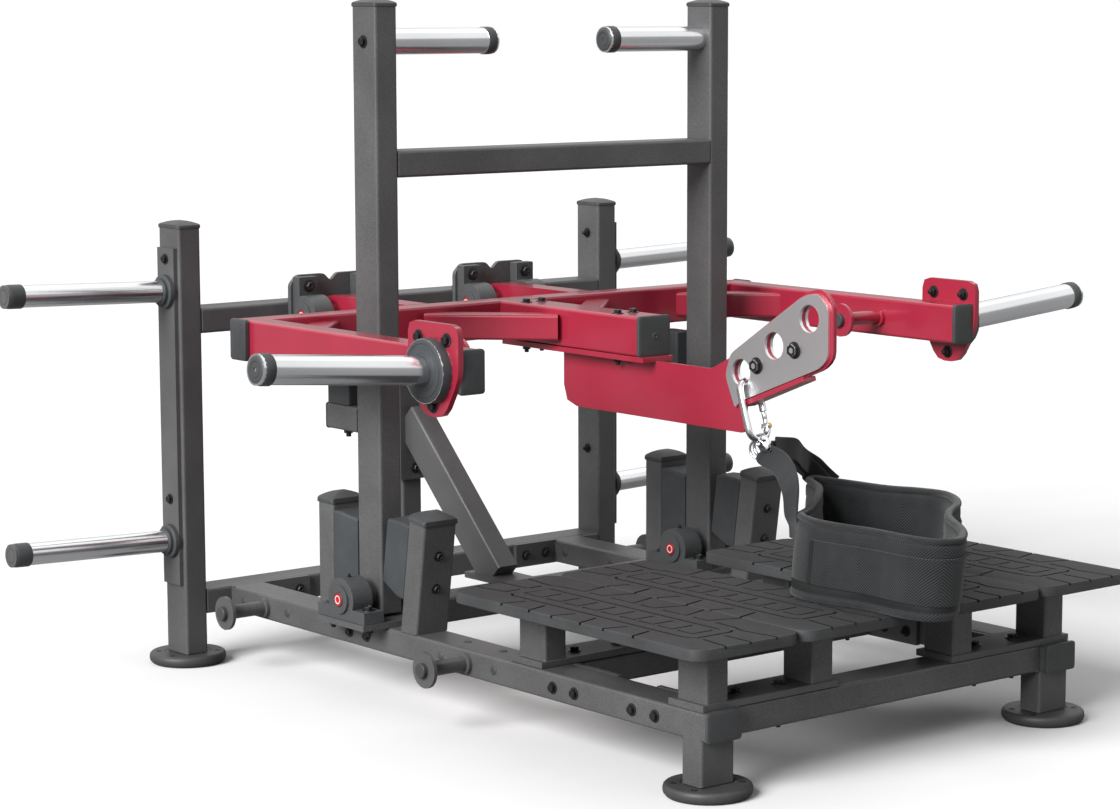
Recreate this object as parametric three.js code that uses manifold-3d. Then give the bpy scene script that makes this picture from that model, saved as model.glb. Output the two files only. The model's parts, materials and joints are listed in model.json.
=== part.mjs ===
// A belt squat machine: floor frame, swinging handle frame, lever arm, carabiner and padded belt.
// Millimetres, +X to the right, +Y to the back, +Z up, the floor at zero.
import * as THREE from 'three';
import { ConvexGeometry } from 'three/addons/geometries/ConvexGeometry.js';
import { mergeVertices } from 'three/addons/utils/BufferGeometryUtils.js';
import Module from 'manifold-3d';

// Stock and clearances
const tubeWide = 75;
const tubeThin = 50;
const tubeCorner = 6;
const plateThick = 10;
const seat = 0.3;
const bite = 1;
const overrun = 5;
const weldTolerance = 0.0001;
const capInset = 1.5;
const capThick = 6;
const crownSkirt = 4;
const crownRise = 8;
const cornerSteps = 2;
const roundSides = 20;
const smallRoundSides = 12;

// Floor frame
const padRadius = 76;
const padHeight = 22;
const padRimShares = [[0, 0], [0.92, 0], [1, 0.25], [1, 0.68], [0.93, 1], [0, 1]];
const railX = 412;
const railUnder = 99;
const railTop = railUnder + tubeThin;
const railInner = railX - tubeWide / 2;
const railOuter = railX + tubeWide / 2;
const railNose = -36;
const frontTubeY = 13.5;
const middleTubeY = 441.5;
const pivotTubeY = 1057.5;
const rearPostX = 531;
const rearPostY = 1437.5;
const rearPostTop = 872;
const rearFace = rearPostY - tubeWide / 2;
const endPlateReach = 124;
const railFlangeReach = 107;

// Rear upper frame and diagonal brace
const upperBeamZ = 687;
const braceTop = 447;
const bracePlateThick = 12;
const bracePlateLow = 322;
const bracePlateHigh = 553;
const braceFootFront = 38;
const braceFootRear = 112;

// Pivot bearings and the shafts in them
const bearingAxisHeight = 38.5;
const bearingRadius = 40.5;
const bearingFootHalf = 76;
const bearingFootThick = 23;
const bearingWide = 45;
const bearingOffset = 69.5;
const bearingCapRadius = 27;
const bearingCapThick = 5;
const shaftRadius = 15;
const shaftPlay = 0.8;
const collarRadius = 23;
const pivotPlateThick = 11.5;
const pivotPlateWide = 95;
const pivotPlateReach = 78;
const pivotShaftY = 936;
const pivotShaftZ = railTop + pivotPlateThick + seat + bearingAxisHeight;

// Rear bracket plates
const bracketX = 206;
const bracketHalf = 98;
const bracketLow = 608;
const bracketHigh = 766;
const bracketNotch = 16;
const bracketHumpHalf = 80;
const bracketCorner = 18;
const gussetReach = 24;
const gussetRise = 46;
const gussetOffset = 78;
const armShaftZ = upperBeamZ;
const armShaftY = rearFace - seat - plateThick - seat - bearingAxisHeight;

// Platform
const standInner = 140;
const standOuter = 447;
const standPlateThick = 12;
const standPlateFront = 3;
const standPlateRear = 10;
const standPostX = 172;
const deckUnder = 258;
const deckThick = 20;
const deckInner = 58;
const boardWide = 236;
const boardGap = 2;
const boardFront = -107;
const boardRear = 555;
const boardCorner = 30;

// Bumpers
const bumperPostThick = 50;
const bumperPostHigh = 214;
const rearBumperY = 1062.5;
const frontBumperY = 797;
const swingLimit = 8.2;
const bumperPadHeight = 129;
const bumperPadBaseWide = 72;
const bumperPadBaseHigh = 145;
const bumperPadFaceWide = 50;
const bumperPadFaceHigh = 125;

// Storage racks and pegs
const rackPlateThick = 8;
const rackPlateHalf = 30;
const rackPlateLow = 162;
const rackPlateHigh = 832;
const rackHornRadius = 21;
const rackHornLength = 320;
const rackHornCap = 35;
const rackHornTilt = 1.8;
const rackHornHighZ = 746;
const rackHornLowZ = 249;
const washerRadius = 33;
const washerThick = 9;
const pegRadius = 14;
const pegLength = 88;
const pegDiscRadius = 33;
const pegDiscThick = 7;
const pegKnobRadius = 13;
const pegKnobThick = 9;
const pegCollarRadius = 20;
const pegCollarThick = 8;
const pegZ = 124;
const pegRearY = 1278;
const pegFrontY = 618;

// Handle frame
const uprightX = 411.4;
const uprightTop = 1303;
const uprightTail = 32;
const crossbarLow = 986;
const handleDrop = 66;
const handleZ = uprightTop - handleDrop;
const handleRadius = 24;
const handleLength = 224;
const handleCapRadius = 25.5;
const handleCapLength = 23;
const stubLow = 504;
const stubHigh = 553;
const stubReach = 97;
const stubNose = 14;
const supportFront = 27;
const supportLong = 70;
const supportHigh = 82;

// Lever arm
const lateralFront = 1045;
const lateralHalf = 627;
const sideBeamInset = 27;
const sideBeamX = lateralHalf - sideBeamInset;
const sideBeamFront = 399;
const centralFront = 626;
const armBraceSpread = 209.5;
const cornerBraceSpread = 153;
const armPegY = 603;
const armPegLength = 100;

// Weight flanges and horns
const flangeY = 458;
const flangeHalf = 72;
const flangeFootHalf = 29;
const flangeHigh = 82;
const flangeShoulder = 9;
const flangeLow = 80;
const flangeCorner = 20;
const hornDiscRadius = 56;
const hornDiscThick = 20;
const hornRadius = 25;
const hornLength = 334;
const hornCap = 23;
const hornTilt = 4.7;

// Lever plate and hook
const leverThick = 8;
const leverRear = 887;
const leverNose = 362;
const leverLow = 531;
const leverFlangeRear = 1040;
const leverStepRear = 600;
const leverStepFront = 455;
const leverStepRise = 2;
const leverCorner = 40;
const leverNoseCorner = 10;
const hookFront = 140;
const hookRear = 409;
const hookLow = 575;
const hookHigh = 801;
const hookCorner = 12;
const hookMargin = 8;
const hookWearThick = 6;
const hookHoleRadius = 25;
const hookBoltRadius = 8;
const hookBoltHeadRadius = 12;
const hookBoltHeadHigh = 9;
const stripHalf = 16;
const stripThick = 8;
const hookOutlineShares = [
  [1, 0.26], [0.95, 0.44], [0.253, 0.96], [0.175, 0.99], [0.1, 1],
  [0, 0.9], [0, 0.5], [0.074, 0.416], [0.862, 0.058], [0.9, 0],
];
const hookHoleShares = [[0.178, 0.796], [0.517, 0.549], [0.84, 0.301]];
const hookBoltShares = [[0.316, 0.535], [0.684, 0.372]];
const stripShares = [0.08, 0.8];

// Carabiner, rings, straps and belt
const carabinerTilt = 19;
const carabinerHalf = 22.5;
const carabinerLength = 112;
const carabinerRod = 5.5;
const carabinerPlay = 1;
const carabinerSteps = 28;
const gateRod = 4.5;
const gateTop = 60;
const gateBottom = 89;
const gatePlay = 0.5;
const ringRadius = 20;
const ringWire = 3;
const ringPlay = 0.8;
const strapWide = 50;
const strapThick = 4;
const strapPlay = 2.5;
const strapLeftShares = [
  [-0.574, 0.473, 1.466], [-0.7, 0.327, 1.356], [-0.82, 0.22, 1.212], [-0.925, 0.17, 0.97],
  [-0.94, 0.159, 0.7], [-0.94, 0.159, 0.25],
];
const strapRightShares = [
  [-0.063, 0.633, 1.438], [0.353, 0.805, 1.178], [0.621, 1.036, 1.041], [0.79, 1.046, 0.938],
  [0.86, 0.958, 0.801],
];
const strapRightEndShares = [0.75, 0.72];
const strapRightCorner = 18;
const beltHigh = 146;
const beltThick = 14;
const beltHalfX = 190;
const beltHalfY = 320;
const beltX = 87;
const beltY = 98.5;
const beltSteps = 84;
const beltOutlineShares = [
  [-0.863, 0.105], [-0.99, -0.073], [-1, -0.245], [-0.953, -0.495], [-0.963, -0.808], [-0.9, -0.958],
  [-0.732, -0.998], [-0.49, -0.908], [-0.268, -0.764], [-0.095, -0.614], [0.095, -0.458], [0.342, -0.327],
  [0.589, -0.23], [0.832, -0.086], [1, 0.098], [0.963, 0.264], [0.837, 0.442], [0.784, 0.723],
  [0.747, 0.898], [0.732, 1], [0.62, 0.98], [0.374, 0.745], [0.047, 0.536], [-0.347, 0.323], [-0.668, 0.177],
];

// Colours
const charcoal = [0x3c3c3e, 0.55, 0.4];
const rubberBlack = [0x2b2e30, 0.85, 0];
const raspberry = [0xc62848, 0.3, 0.25];
const satinChrome = [0xc9cacc, 0.28, 1];
const brushed = [0xbfc0c2, 0.38, 0.95];
const webbing = [0x2f3132, 0.9, 0];
const castGrey = [0x333638, 0.6, 0.3];

const wasm = await Module();
wasm.setup();
const radians = THREE.MathUtils.degToRad;
const machine = new THREE.Group();

// Solids from geometry and back
function toSolid(geometry) {
  const bare = new THREE.BufferGeometry();
  bare.setAttribute('position', geometry.getAttribute('position').clone());
  if (geometry.index) bare.setIndex(geometry.index.clone());
  const welded = mergeVertices(bare, weldTolerance);
  const vertProperties = new Float32Array(welded.getAttribute('position').array);
  const triVerts = new Uint32Array(welded.index.array);
  return new wasm.Manifold(new wasm.Mesh({ numProp: 3, vertProperties, triVerts }));
}

function toGeometry(solid) {
  const mesh = solid.getMesh();
  const geometry = new THREE.BufferGeometry();
  geometry.setAttribute('position', new THREE.BufferAttribute(mesh.vertProperties, 3));
  geometry.setIndex(new THREE.BufferAttribute(mesh.triVerts, 1));
  geometry.computeVertexNormals();
  return geometry;
}

function join(...pieces) {
  const solids = pieces.map(toSolid);
  return toGeometry(solids.reduce((whole, next) => whole.add(next)));
}

function cut(piece, ...tools) {
  const solids = tools.map(toSolid);
  return toGeometry(solids.reduce((whole, next) => whole.subtract(next), toSolid(piece)));
}

// The same piece for the other side of the middle plane
function mirrored(geometry) {
  const copy = geometry.clone();
  copy.scale(-1, 1, 1);
  const source = copy.index ? Array.from(copy.index.array) : [...copy.getAttribute('position').array.keys()];
  const corners = copy.index ? source : source.slice(0, copy.getAttribute('position').count);
  const flipped = [];
  for (let i = 0; i < corners.length; i += 3) flipped.push(corners[i], corners[i + 2], corners[i + 1]);
  copy.setIndex(flipped);
  copy.computeVertexNormals();
  return copy;
}

// Outlines
function roundedOutline(points, radius) {
  const shape = new THREE.Shape();
  points.forEach((corner, i) => {
    const before = points[(i + points.length - 1) % points.length];
    const after = points[(i + 1) % points.length];
    const here = new THREE.Vector2(...corner);
    const toBefore = new THREE.Vector2(...before).sub(here);
    const toAfter = new THREE.Vector2(...after).sub(here);
    const reach = Math.min(corner[2] ?? radius, toBefore.length() / 2, toAfter.length() / 2);
    const start = here.clone().addScaledVector(toBefore.normalize(), reach);
    const end = here.clone().addScaledVector(toAfter.normalize(), reach);
    if (i === 0) shape.moveTo(start.x, start.y);
    else shape.lineTo(start.x, start.y);
    if (reach > 0) shape.quadraticCurveTo(here.x, here.y, end.x, end.y);
  });
  shape.closePath();
  return shape;
}

function section(width, height, corner) {
  const x = width / 2;
  const y = height / 2;
  const shape = new THREE.Shape();
  shape.moveTo(x, corner - y);
  shape.absarc(x - corner, y - corner, corner, 0, Math.PI / 2);
  shape.absarc(corner - x, y - corner, corner, Math.PI / 2, Math.PI);
  shape.absarc(corner - x, corner - y, corner, Math.PI, 1.5 * Math.PI);
  shape.absarc(x - corner, corner - y, corner, 1.5 * Math.PI, 2 * Math.PI);
  return shape;
}

function circleHole(u, v, radius) {
  const hole = new THREE.Path();
  hole.absarc(u, v, radius, 0, 2 * Math.PI, true);
  return hole;
}

// An outline in the Y-Z plane, made solid from one X to another
function slabAcrossX(shape, fromX, toX, steps = cornerSteps) {
  const options = { depth: toX - fromX, bevelEnabled: false, curveSegments: steps };
  const geometry = new THREE.ExtrudeGeometry(shape, options);
  const turn = new THREE.Matrix4().makeBasis(
    new THREE.Vector3(0, 1, 0), new THREE.Vector3(0, 0, 1), new THREE.Vector3(1, 0, 0));
  geometry.applyMatrix4(turn);
  return geometry.translate(fromX, 0, 0);
}

// An outline in the X-Z plane, made solid from one Y to another
function slabAcrossY(shape, fromY, toY, steps = cornerSteps) {
  const options = { depth: toY - fromY, bevelEnabled: false, curveSegments: steps };
  const geometry = new THREE.ExtrudeGeometry(shape, options);
  const turn = new THREE.Matrix4().makeBasis(
    new THREE.Vector3(1, 0, 0), new THREE.Vector3(0, 0, 1), new THREE.Vector3(0, -1, 0));
  geometry.applyMatrix4(turn);
  return geometry.translate(0, toY, 0);
}

function slabAcrossZ(shape, fromZ, toZ, steps = cornerSteps) {
  const options = { depth: toZ - fromZ, bevelEnabled: false, curveSegments: steps };
  return new THREE.ExtrudeGeometry(shape, options).translate(0, 0, fromZ);
}

// A rectangular tube between two corners, its long edges rounded
function tube(axis, low, high, corner = tubeCorner) {
  const [width, depth, height] = [high[0] - low[0], high[1] - low[1], high[2] - low[2]];
  const middle = [(low[0] + high[0]) / 2, (low[1] + high[1]) / 2, (low[2] + high[2]) / 2];
  let piece;
  if (axis === 'x') piece = slabAcrossX(section(depth, height, corner), -width / 2, width / 2);
  if (axis === 'y') piece = slabAcrossY(section(width, height, corner), -depth / 2, depth / 2);
  if (axis === 'z') piece = slabAcrossZ(section(width, depth, corner), -height / 2, height / 2);
  return piece.translate(...middle);
}

function plate(low, high) {
  const size = high.map((value, i) => value - low[i]);
  const middle = high.map((value, i) => (value + low[i]) / 2);
  return new THREE.BoxGeometry(...size).translate(...middle);
}

// A round bar from one point to another
function rod(from, to, radius, sides = roundSides) {
  const start = new THREE.Vector3(...from);
  const run = new THREE.Vector3(...to).sub(start);
  const bar = new THREE.CylinderGeometry(radius, radius, run.length(), sides);
  const turn = new THREE.Quaternion().setFromUnitVectors(new THREE.Vector3(0, 1, 0), run.clone().normalize());
  bar.applyQuaternion(turn);
  const middle = start.addScaledVector(run, 1 / 2);
  return bar.translate(middle.x, middle.y, middle.z);
}

// A tube along a slanted line in a plane, its flat sides square to that plane's normal
function slantedTube(from, to, normal, wide, high) {
  const start = new THREE.Vector3(...from);
  const along = new THREE.Vector3(...to).sub(start);
  const length = along.length();
  along.normalize();
  const across = new THREE.Vector3(...normal);
  const up = new THREE.Vector3().crossVectors(along, across);
  const bar = slabAcrossZ(section(wide, high, tubeCorner), 0, length);
  bar.applyMatrix4(new THREE.Matrix4().makeBasis(across, up, along));
  return bar.translate(start.x, start.y, start.z);
}

// The domed end of a tube: a flat skirt and a crown, over a rectangle on a given height
function crown(lowX, highX, lowY, highY, z) {
  const points = [];
  const shares = [-1, -0.72, 0, 0.72, 1];
  for (const u of shares) {
    for (const v of shares) {
      const x = (lowX + highX) / 2 + u * (highX - lowX) / 2;
      const y = (lowY + highY) / 2 + v * (highY - lowY) / 2;
      points.push(new THREE.Vector3(x, y, z + crownSkirt + crownRise * (1 - u * u) * (1 - v * v)));
      if (Math.abs(u) === 1 && Math.abs(v) === 1) points.push(new THREE.Vector3(x, y, z - bite));
    }
  }
  return new ConvexGeometry(points);
}

// A plug in the end of a level tube, set in a little from the tube's faces
function endPlug(low, high) {
  return plate(low, high);
}

function add(name, geometry, [colour, roughness, metalness], position = [0, 0, 0]) {
  const material = new THREE.MeshStandardMaterial({ color: colour, roughness, metalness });
  const mesh = new THREE.Mesh(geometry, material);
  mesh.name = name;
  mesh.position.set(...position);
  machine.add(mesh);
  return mesh;
}

function addPair(name, geometry, look) {
  add(`${name}_right`, geometry, look);
  add(`${name}_left`, mirrored(geometry), look);
}

// Foot pads
function footPad() {
  const profile = padRimShares.map(([r, h]) => new THREE.Vector2(r * padRadius, h * (padHeight - seat)));
  return new THREE.LatheGeometry(profile, roundSides).rotateX(Math.PI / 2);
}

function footPads() {
  const places = { front: [railX, 0], rear: [rearPostX, rearPostY] };
  for (const [name, [x, y]] of Object.entries(places)) {
    add(`${name}_foot_pad_right`, footPad(), rubberBlack, [x, y, 0]);
    add(`${name}_foot_pad_left`, footPad(), rubberBlack, [-x, y, 0]);
  }
}

// A storage peg that stands out along X: collar, rod, disc and knob
function peg(fromX, y, z, length, direction) {
  const at = (distance) => [fromX + direction * distance, y, z];
  const face = length + pegDiscThick;
  return [
    rod(at(-bite), at(pegCollarThick), pegCollarRadius, smallRoundSides),
    rod(at(-bite), at(length + bite), pegRadius, smallRoundSides),
    rod(at(length), at(face), pegDiscRadius),
    rod(at(face - bite), at(face + pegKnobThick), pegKnobRadius, smallRoundSides),
  ];
}

// Rails, each with its foot post, rear flange, bearing plate and pegs
function rail() {
  const rearEnd = rearFace - seat;
  const postLow = [railInner, -tubeThin / 2, padHeight];
  const postHigh = [railOuter, tubeThin / 2, railUnder + tubeCorner];
  const noseLow = [railInner + capInset, railNose - capThick, railUnder + capInset];
  const noseHigh = [railOuter - capInset, railNose + bite, railTop - capInset];
  const flangeStart = [railInner - railFlangeReach, rearEnd - plateThick, railUnder];
  const weldLow = [railInner + tubeCorner, pivotShaftY - pivotPlateReach, railTop - bite];
  const weldHigh = [railOuter - tubeCorner, pivotShaftY + pivotPlateReach, railTop + seat + bite];
  const plateLow = [railX - pivotPlateWide, pivotShaftY - pivotPlateReach, railTop + seat];
  const plateHigh = [railX + pivotPlateWide, pivotShaftY + pivotPlateReach, railTop + pivotPlateThick];
  return join(
    tube('y', [railInner, railNose, railUnder], [railOuter, rearEnd, railTop]),
    tube('z', postLow, postHigh),
    endPlug(noseLow, noseHigh),
    plate(flangeStart, [railOuter, rearEnd, railTop]),
    plate(weldLow, weldHigh),
    plate(plateLow, plateHigh),
    ...peg(railOuter, pegRearY, pegZ, pegLength, 1),
    ...peg(railOuter, pegFrontY, pegZ, pegLength, 1),
  );
}

// A cross tube between the rails; its end plates reach forward (-1) or back (1) for their bolts
function crossTube(y, direction) {
  const end = railInner - seat;
  const front = y - tubeWide / 2;
  const rear = y + tubeWide / 2;
  const plateFront = direction < 0 ? front - endPlateReach : front;
  const plateRear = direction < 0 ? rear : rear + endPlateReach;
  const bar = tube('x', [bite - end, front, railUnder], [end - bite, rear, railTop]);
  const rightPlate = plate([end - plateThick, plateFront, railUnder], [end, plateRear, railTop]);
  const leftPlate = plate([-end, plateFront, railUnder], [plateThick - end, plateRear, railTop]);
  return join(bar, rightPlate, leftPlate);
}

function rearBaseTube() {
  const end = rearPostX - tubeThin / 2 - seat;
  return tube('x', [-end, rearFace, railUnder], [end, rearPostY + tubeWide / 2, railTop]);
}

function rearPost() {
  const lowX = rearPostX - tubeThin / 2;
  const highX = rearPostX + tubeThin / 2;
  const highY = rearPostY + tubeWide / 2;
  const post = tube('z', [lowX, rearFace, padHeight], [highX, highY, rearPostTop]);
  return join(post, crown(lowX, highX, rearFace, highY, rearPostTop));
}

// The upper rear beam with the centre post under it
function rearUpperFrame() {
  const end = rearPostX - tubeThin / 2 - seat;
  const highY = rearPostY + tubeWide / 2;
  const under = upperBeamZ - tubeThin / 2;
  const beam = tube('x', [-end, rearFace, under], [end, highY, under + tubeThin]);
  const postLow = [-tubeThin / 2, rearFace, railTop + seat];
  const postHigh = [tubeThin / 2, highY, under + tubeCorner];
  const post = tube('z', postLow, postHigh);
  return join(beam, post);
}

// The diagonal brace from the pivot cross tube up to the centre post
function diagonalBrace() {
  const footTop = railTop + seat + bracePlateThick;
  const headFront = rearFace - seat - bracePlateThick;
  const run = braceTop - footTop;
  const from = [0, headFront - run - overrun, footTop - overrun];
  const to = [0, headFront + overrun, braceTop + overrun];
  const bar = slantedTube(from, to, [1, 0, 0], tubeThin, tubeWide);
  const half = tubeWide;
  const below = plate([-half, from[1] - half, footTop - half], [half, from[1] + 2 * half, footTop - bite]);
  const behind = plate(
    [-half, headFront + bite, braceTop - 2 * half],
    [half, headFront + half, braceTop + 2 * half]);
  const foot = plate(
    [-tubeWide / 2, pivotTubeY - braceFootFront, railTop + seat],
    [tubeWide / 2, pivotTubeY + braceFootRear, footTop]);
  const head = plate(
    [-tubeWide / 2, headFront, bracePlateLow],
    [tubeWide / 2, headFront + bracePlateThick, bracePlateHigh]);
  return join(cut(bar, below, behind), foot, head);
}

// Platform stands and tread boards
function platformStand(y) {
  const top = railTop + standPlateThick;
  const front = y - tubeWide / 2;
  const rear = y + tubeWide / 2;
  const base = plate(
    [standInner, front - standPlateFront, railTop + seat],
    [standOuter, rear + standPlateRear, top]);
  const posts = [standPostX, railX].map((x) => tube(
    'z', [x - tubeThin / 2, front, top - bite], [x + tubeThin / 2, rear, deckUnder - seat]));
  return join(base, ...posts);
}

function treadBoard() {
  const outline = section(boardWide, boardRear - boardFront, boardCorner);
  return slabAcrossZ(outline, 0, deckThick, 2 * cornerSteps);
}

function treadBoards() {
  const y = (boardFront + boardRear) / 2;
  const inner = deckInner + boardWide / 2;
  const places = { inner, outer: inner + boardWide + boardGap };
  for (const [name, x] of Object.entries(places)) {
    add(`${name}_tread_board_right`, treadBoard(), rubberBlack, [x, y, deckUnder]);
    add(`${name}_tread_board_left`, treadBoard(), rubberBlack, [-x, y, deckUnder]);
  }
}

// A bumper post on a rail, leaning forward by an angle, its foot cut level with the rail
function bumperPost(y, lean) {
  const low = [railInner, -bumperPostThick / 2, -bumperPostThick];
  const high = [railOuter, bumperPostThick / 2, bumperPostHigh];
  const post = join(
    tube('z', low, high),
    crown(railInner, railOuter, low[1], high[1], bumperPostHigh));
  post.rotateX(radians(lean)).translate(0, y, railTop + seat);
  const below = plate(
    [railInner - overrun, y - tubeWide, railTop - 2 * bumperPostThick],
    [railOuter + overrun, y + tubeWide, railTop + seat]);
  return cut(post, below);
}

// A tapered rubber pad on a bumper post; the pad's face reaches along Y by its thickness
function bumperPad(thick) {
  const base = section(bumperPadBaseWide, bumperPadBaseHigh, tubeCorner).getPoints(cornerSteps);
  const face = section(bumperPadFaceWide, bumperPadFaceHigh, tubeCorner).getPoints(cornerSteps);
  const points = [];
  base.forEach((p) => points.push(new THREE.Vector3(p.x, 0, p.y)));
  base.forEach((p) => points.push(new THREE.Vector3(p.x, thick / 4, p.y)));
  face.forEach((p) => points.push(new THREE.Vector3(p.x, thick, p.y)));
  return new ConvexGeometry(points);
}

function bumpers() {
  addPair('rear_bumper_post', bumperPost(rearBumperY, 0), charcoal);
  addPair('front_bumper_post', bumperPost(frontBumperY, swingLimit), charcoal);
  const uprightHalf = tubeWide / 2;
  const rearThick = rearBumperY - bumperPostThick / 2 - pivotShaftY - uprightHalf - 2 * seat;
  const rearPad = bumperPad(rearThick).rotateZ(Math.PI);
  rearPad.translate(railX, rearBumperY - bumperPostThick / 2 - seat, railTop + bumperPadHeight);
  addPair('rear_bumper_pad', rearPad, rubberBlack);
  const lean = radians(swingLimit);
  const slope = new THREE.Vector2(Math.cos(lean), Math.sin(lean));
  const toShaft = new THREE.Vector2(pivotShaftY - frontBumperY, pivotShaftZ - railTop - seat);
  const frontThick = toShaft.dot(slope) - uprightHalf - bumperPostThick / 2 - 2 * seat;
  const frontPad = bumperPad(frontThick).translate(0, bumperPostThick / 2 + seat, bumperPadHeight);
  frontPad.rotateX(lean).translate(railX, frontBumperY, railTop + seat);
  addPair('front_bumper_pad', frontPad, rubberBlack);
}

// A pillow block: foot along Y, axis along X, open on the left and capped on the right
function bearing() {
  const start = Math.asin((bearingFootThick - bearingAxisHeight) / bearingRadius);
  const shape = new THREE.Shape();
  shape.moveTo(-bearingFootHalf, 0);
  shape.lineTo(bearingFootHalf, 0);
  shape.lineTo(bearingFootHalf, bearingFootThick);
  shape.absarc(0, bearingAxisHeight, bearingRadius, start, Math.PI - start);
  shape.lineTo(-bearingFootHalf, bearingFootThick);
  shape.closePath();
  shape.holes.push(circleHole(0, bearingAxisHeight, shaftRadius + shaftPlay));
  const block = slabAcrossX(shape, -bearingWide / 2, bearingWide / 2, smallRoundSides);
  const capFrom = [bearingWide / 2 - bite, 0, bearingAxisHeight];
  const capTo = [bearingWide / 2 + bearingCapThick, 0, bearingAxisHeight];
  return join(block, rod(capFrom, capTo, bearingCapRadius));
}

// Four bearings on a pair of shafts, outer and inner on each side
function bearings(name, x, turn) {
  const outer = bearing().rotateX(turn);
  const inner = mirrored(outer);
  const y = turn === 0 ? pivotShaftY : armShaftY + bearingAxisHeight;
  const z = turn === 0 ? railTop + pivotPlateThick + seat : armShaftZ;
  add(`${name}_outer_right`, outer, castGrey, [x + bearingOffset, y, z]);
  add(`${name}_inner_right`, inner, castGrey, [x - bearingOffset, y, z]);
  add(`${name}_outer_left`, inner.clone(), castGrey, [-x - bearingOffset, y, z]);
  add(`${name}_inner_left`, outer.clone(), castGrey, [bearingOffset - x, y, z]);
}

// A shaft with a collar on each side of the tube that it carries
function shaft(x, y, z) {
  const reach = bearingOffset + bearingWide / 2 - bite;
  const collar = bearingOffset - bearingWide / 2 - seat;
  return [
    rod([x - reach, y, z], [x + reach, y, z], shaftRadius, smallRoundSides),
    rod([x - collar, y, z], [x + collar, y, z], collarRadius, smallRoundSides),
  ];
}

// A bracket plate on the front of the upper beam, two humps and a notch on top, gussets behind
function rearBracket() {
  const shape = roundedOutline([
    [bracketX - bracketHalf, bracketLow],
    [bracketX + bracketHalf, bracketLow],
    [bracketX + bracketHalf, bracketHigh - bracketCorner],
    [bracketX + bracketHumpHalf, bracketHigh],
    [bracketX + bracketNotch, bracketHigh],
    [bracketX, bracketHigh - bracketNotch],
    [bracketX - bracketNotch, bracketHigh],
    [bracketX - bracketHumpHalf, bracketHigh],
    [bracketX - bracketHalf, bracketHigh - bracketCorner],
  ], tubeCorner);
  const rear = rearFace - seat;
  const beamTop = upperBeamZ + tubeThin / 2 + seat;
  const gussets = [-1, 1].map((side) => {
    const wedge = roundedOutline([
      [rear - bite, beamTop],
      [rear + gussetReach, beamTop],
      [rear - bite, beamTop + gussetRise],
    ], 0);
    const middle = bracketX + side * gussetOffset;
    return slabAcrossX(wedge, middle - plateThick / 2, middle + plateThick / 2);
  });
  return join(slabAcrossY(shape, rear - plateThick, rear), ...gussets);
}

// A storage rack: its plate on a rear post and two horns for spare weights
function storageRack() {
  const faceX = rearPostX + tubeThin / 2 + seat;
  const outerX = faceX + rackPlateThick;
  const back = plate(
    [faceX, rearPostY - rackPlateHalf, rackPlateLow],
    [outerX, rearPostY + rackPlateHalf, rackPlateHigh]);
  const horns = [rackHornLowZ, rackHornHighZ].flatMap((z) => {
    const rise = Math.tan(radians(rackHornTilt));
    const at = (distance) => [outerX + distance, rearPostY, z + distance * rise];
    const washerEnd = [outerX + washerThick, rearPostY, z];
    return [
      rod([outerX - bite, rearPostY, z], washerEnd, washerRadius),
      rod(at(0), at(rackHornLength), rackHornRadius),
      rod(at(rackHornLength - bite), at(rackHornLength + rackHornCap), rackHornRadius + capInset),
    ];
  });
  return join(back, ...horns);
}

// An upright of the handle frame with its pivot shaft and the stub that carries the arm's support
function upright() {
  const lowX = uprightX - tubeThin / 2;
  const highX = uprightX + tubeThin / 2;
  const front = pivotShaftY - tubeWide / 2;
  const rear = pivotShaftY + tubeWide / 2;
  const foot = pivotShaftZ - uprightTail;
  return join(
    tube('z', [lowX, front, foot], [highX, rear, uprightTop]),
    crown(lowX, highX, front, rear, uprightTop),
    tube('y', [lowX, rear - bite, stubLow], [highX, rear + stubReach, stubHigh]),
    plate(
      [lowX + stubNose, rear + stubReach - bite, stubLow + stubNose],
      [highX - stubNose, rear + stubReach + stubNose / 2, stubHigh - stubNose]),
    ...shaft(uprightX, pivotShaftY, pivotShaftZ),
  );
}

function crossbar() {
  const end = uprightX - tubeThin / 2 - seat;
  return tube(
    'x', [-end, pivotShaftY - tubeWide / 2, crossbarLow],
    [end, pivotShaftY + tubeWide / 2, crossbarLow + tubeThin]);
}

function handle() {
  const start = uprightX - tubeThin / 2 - seat;
  const at = (distance) => [start - distance, pivotShaftY, handleZ];
  return join(
    rod(at(0), at(handleLength), handleRadius),
    rod(at(handleLength - bite), at(handleLength + handleCapLength), handleCapRadius));
}

function supportPad() {
  const rear = pivotShaftY + tubeWide / 2;
  const low = [uprightX - tubeThin / 2, rear + supportFront, stubHigh + seat];
  const high = [uprightX + tubeThin / 2, rear + supportFront + supportLong, stubHigh + supportHigh];
  return tube('z', low, high);
}

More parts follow.
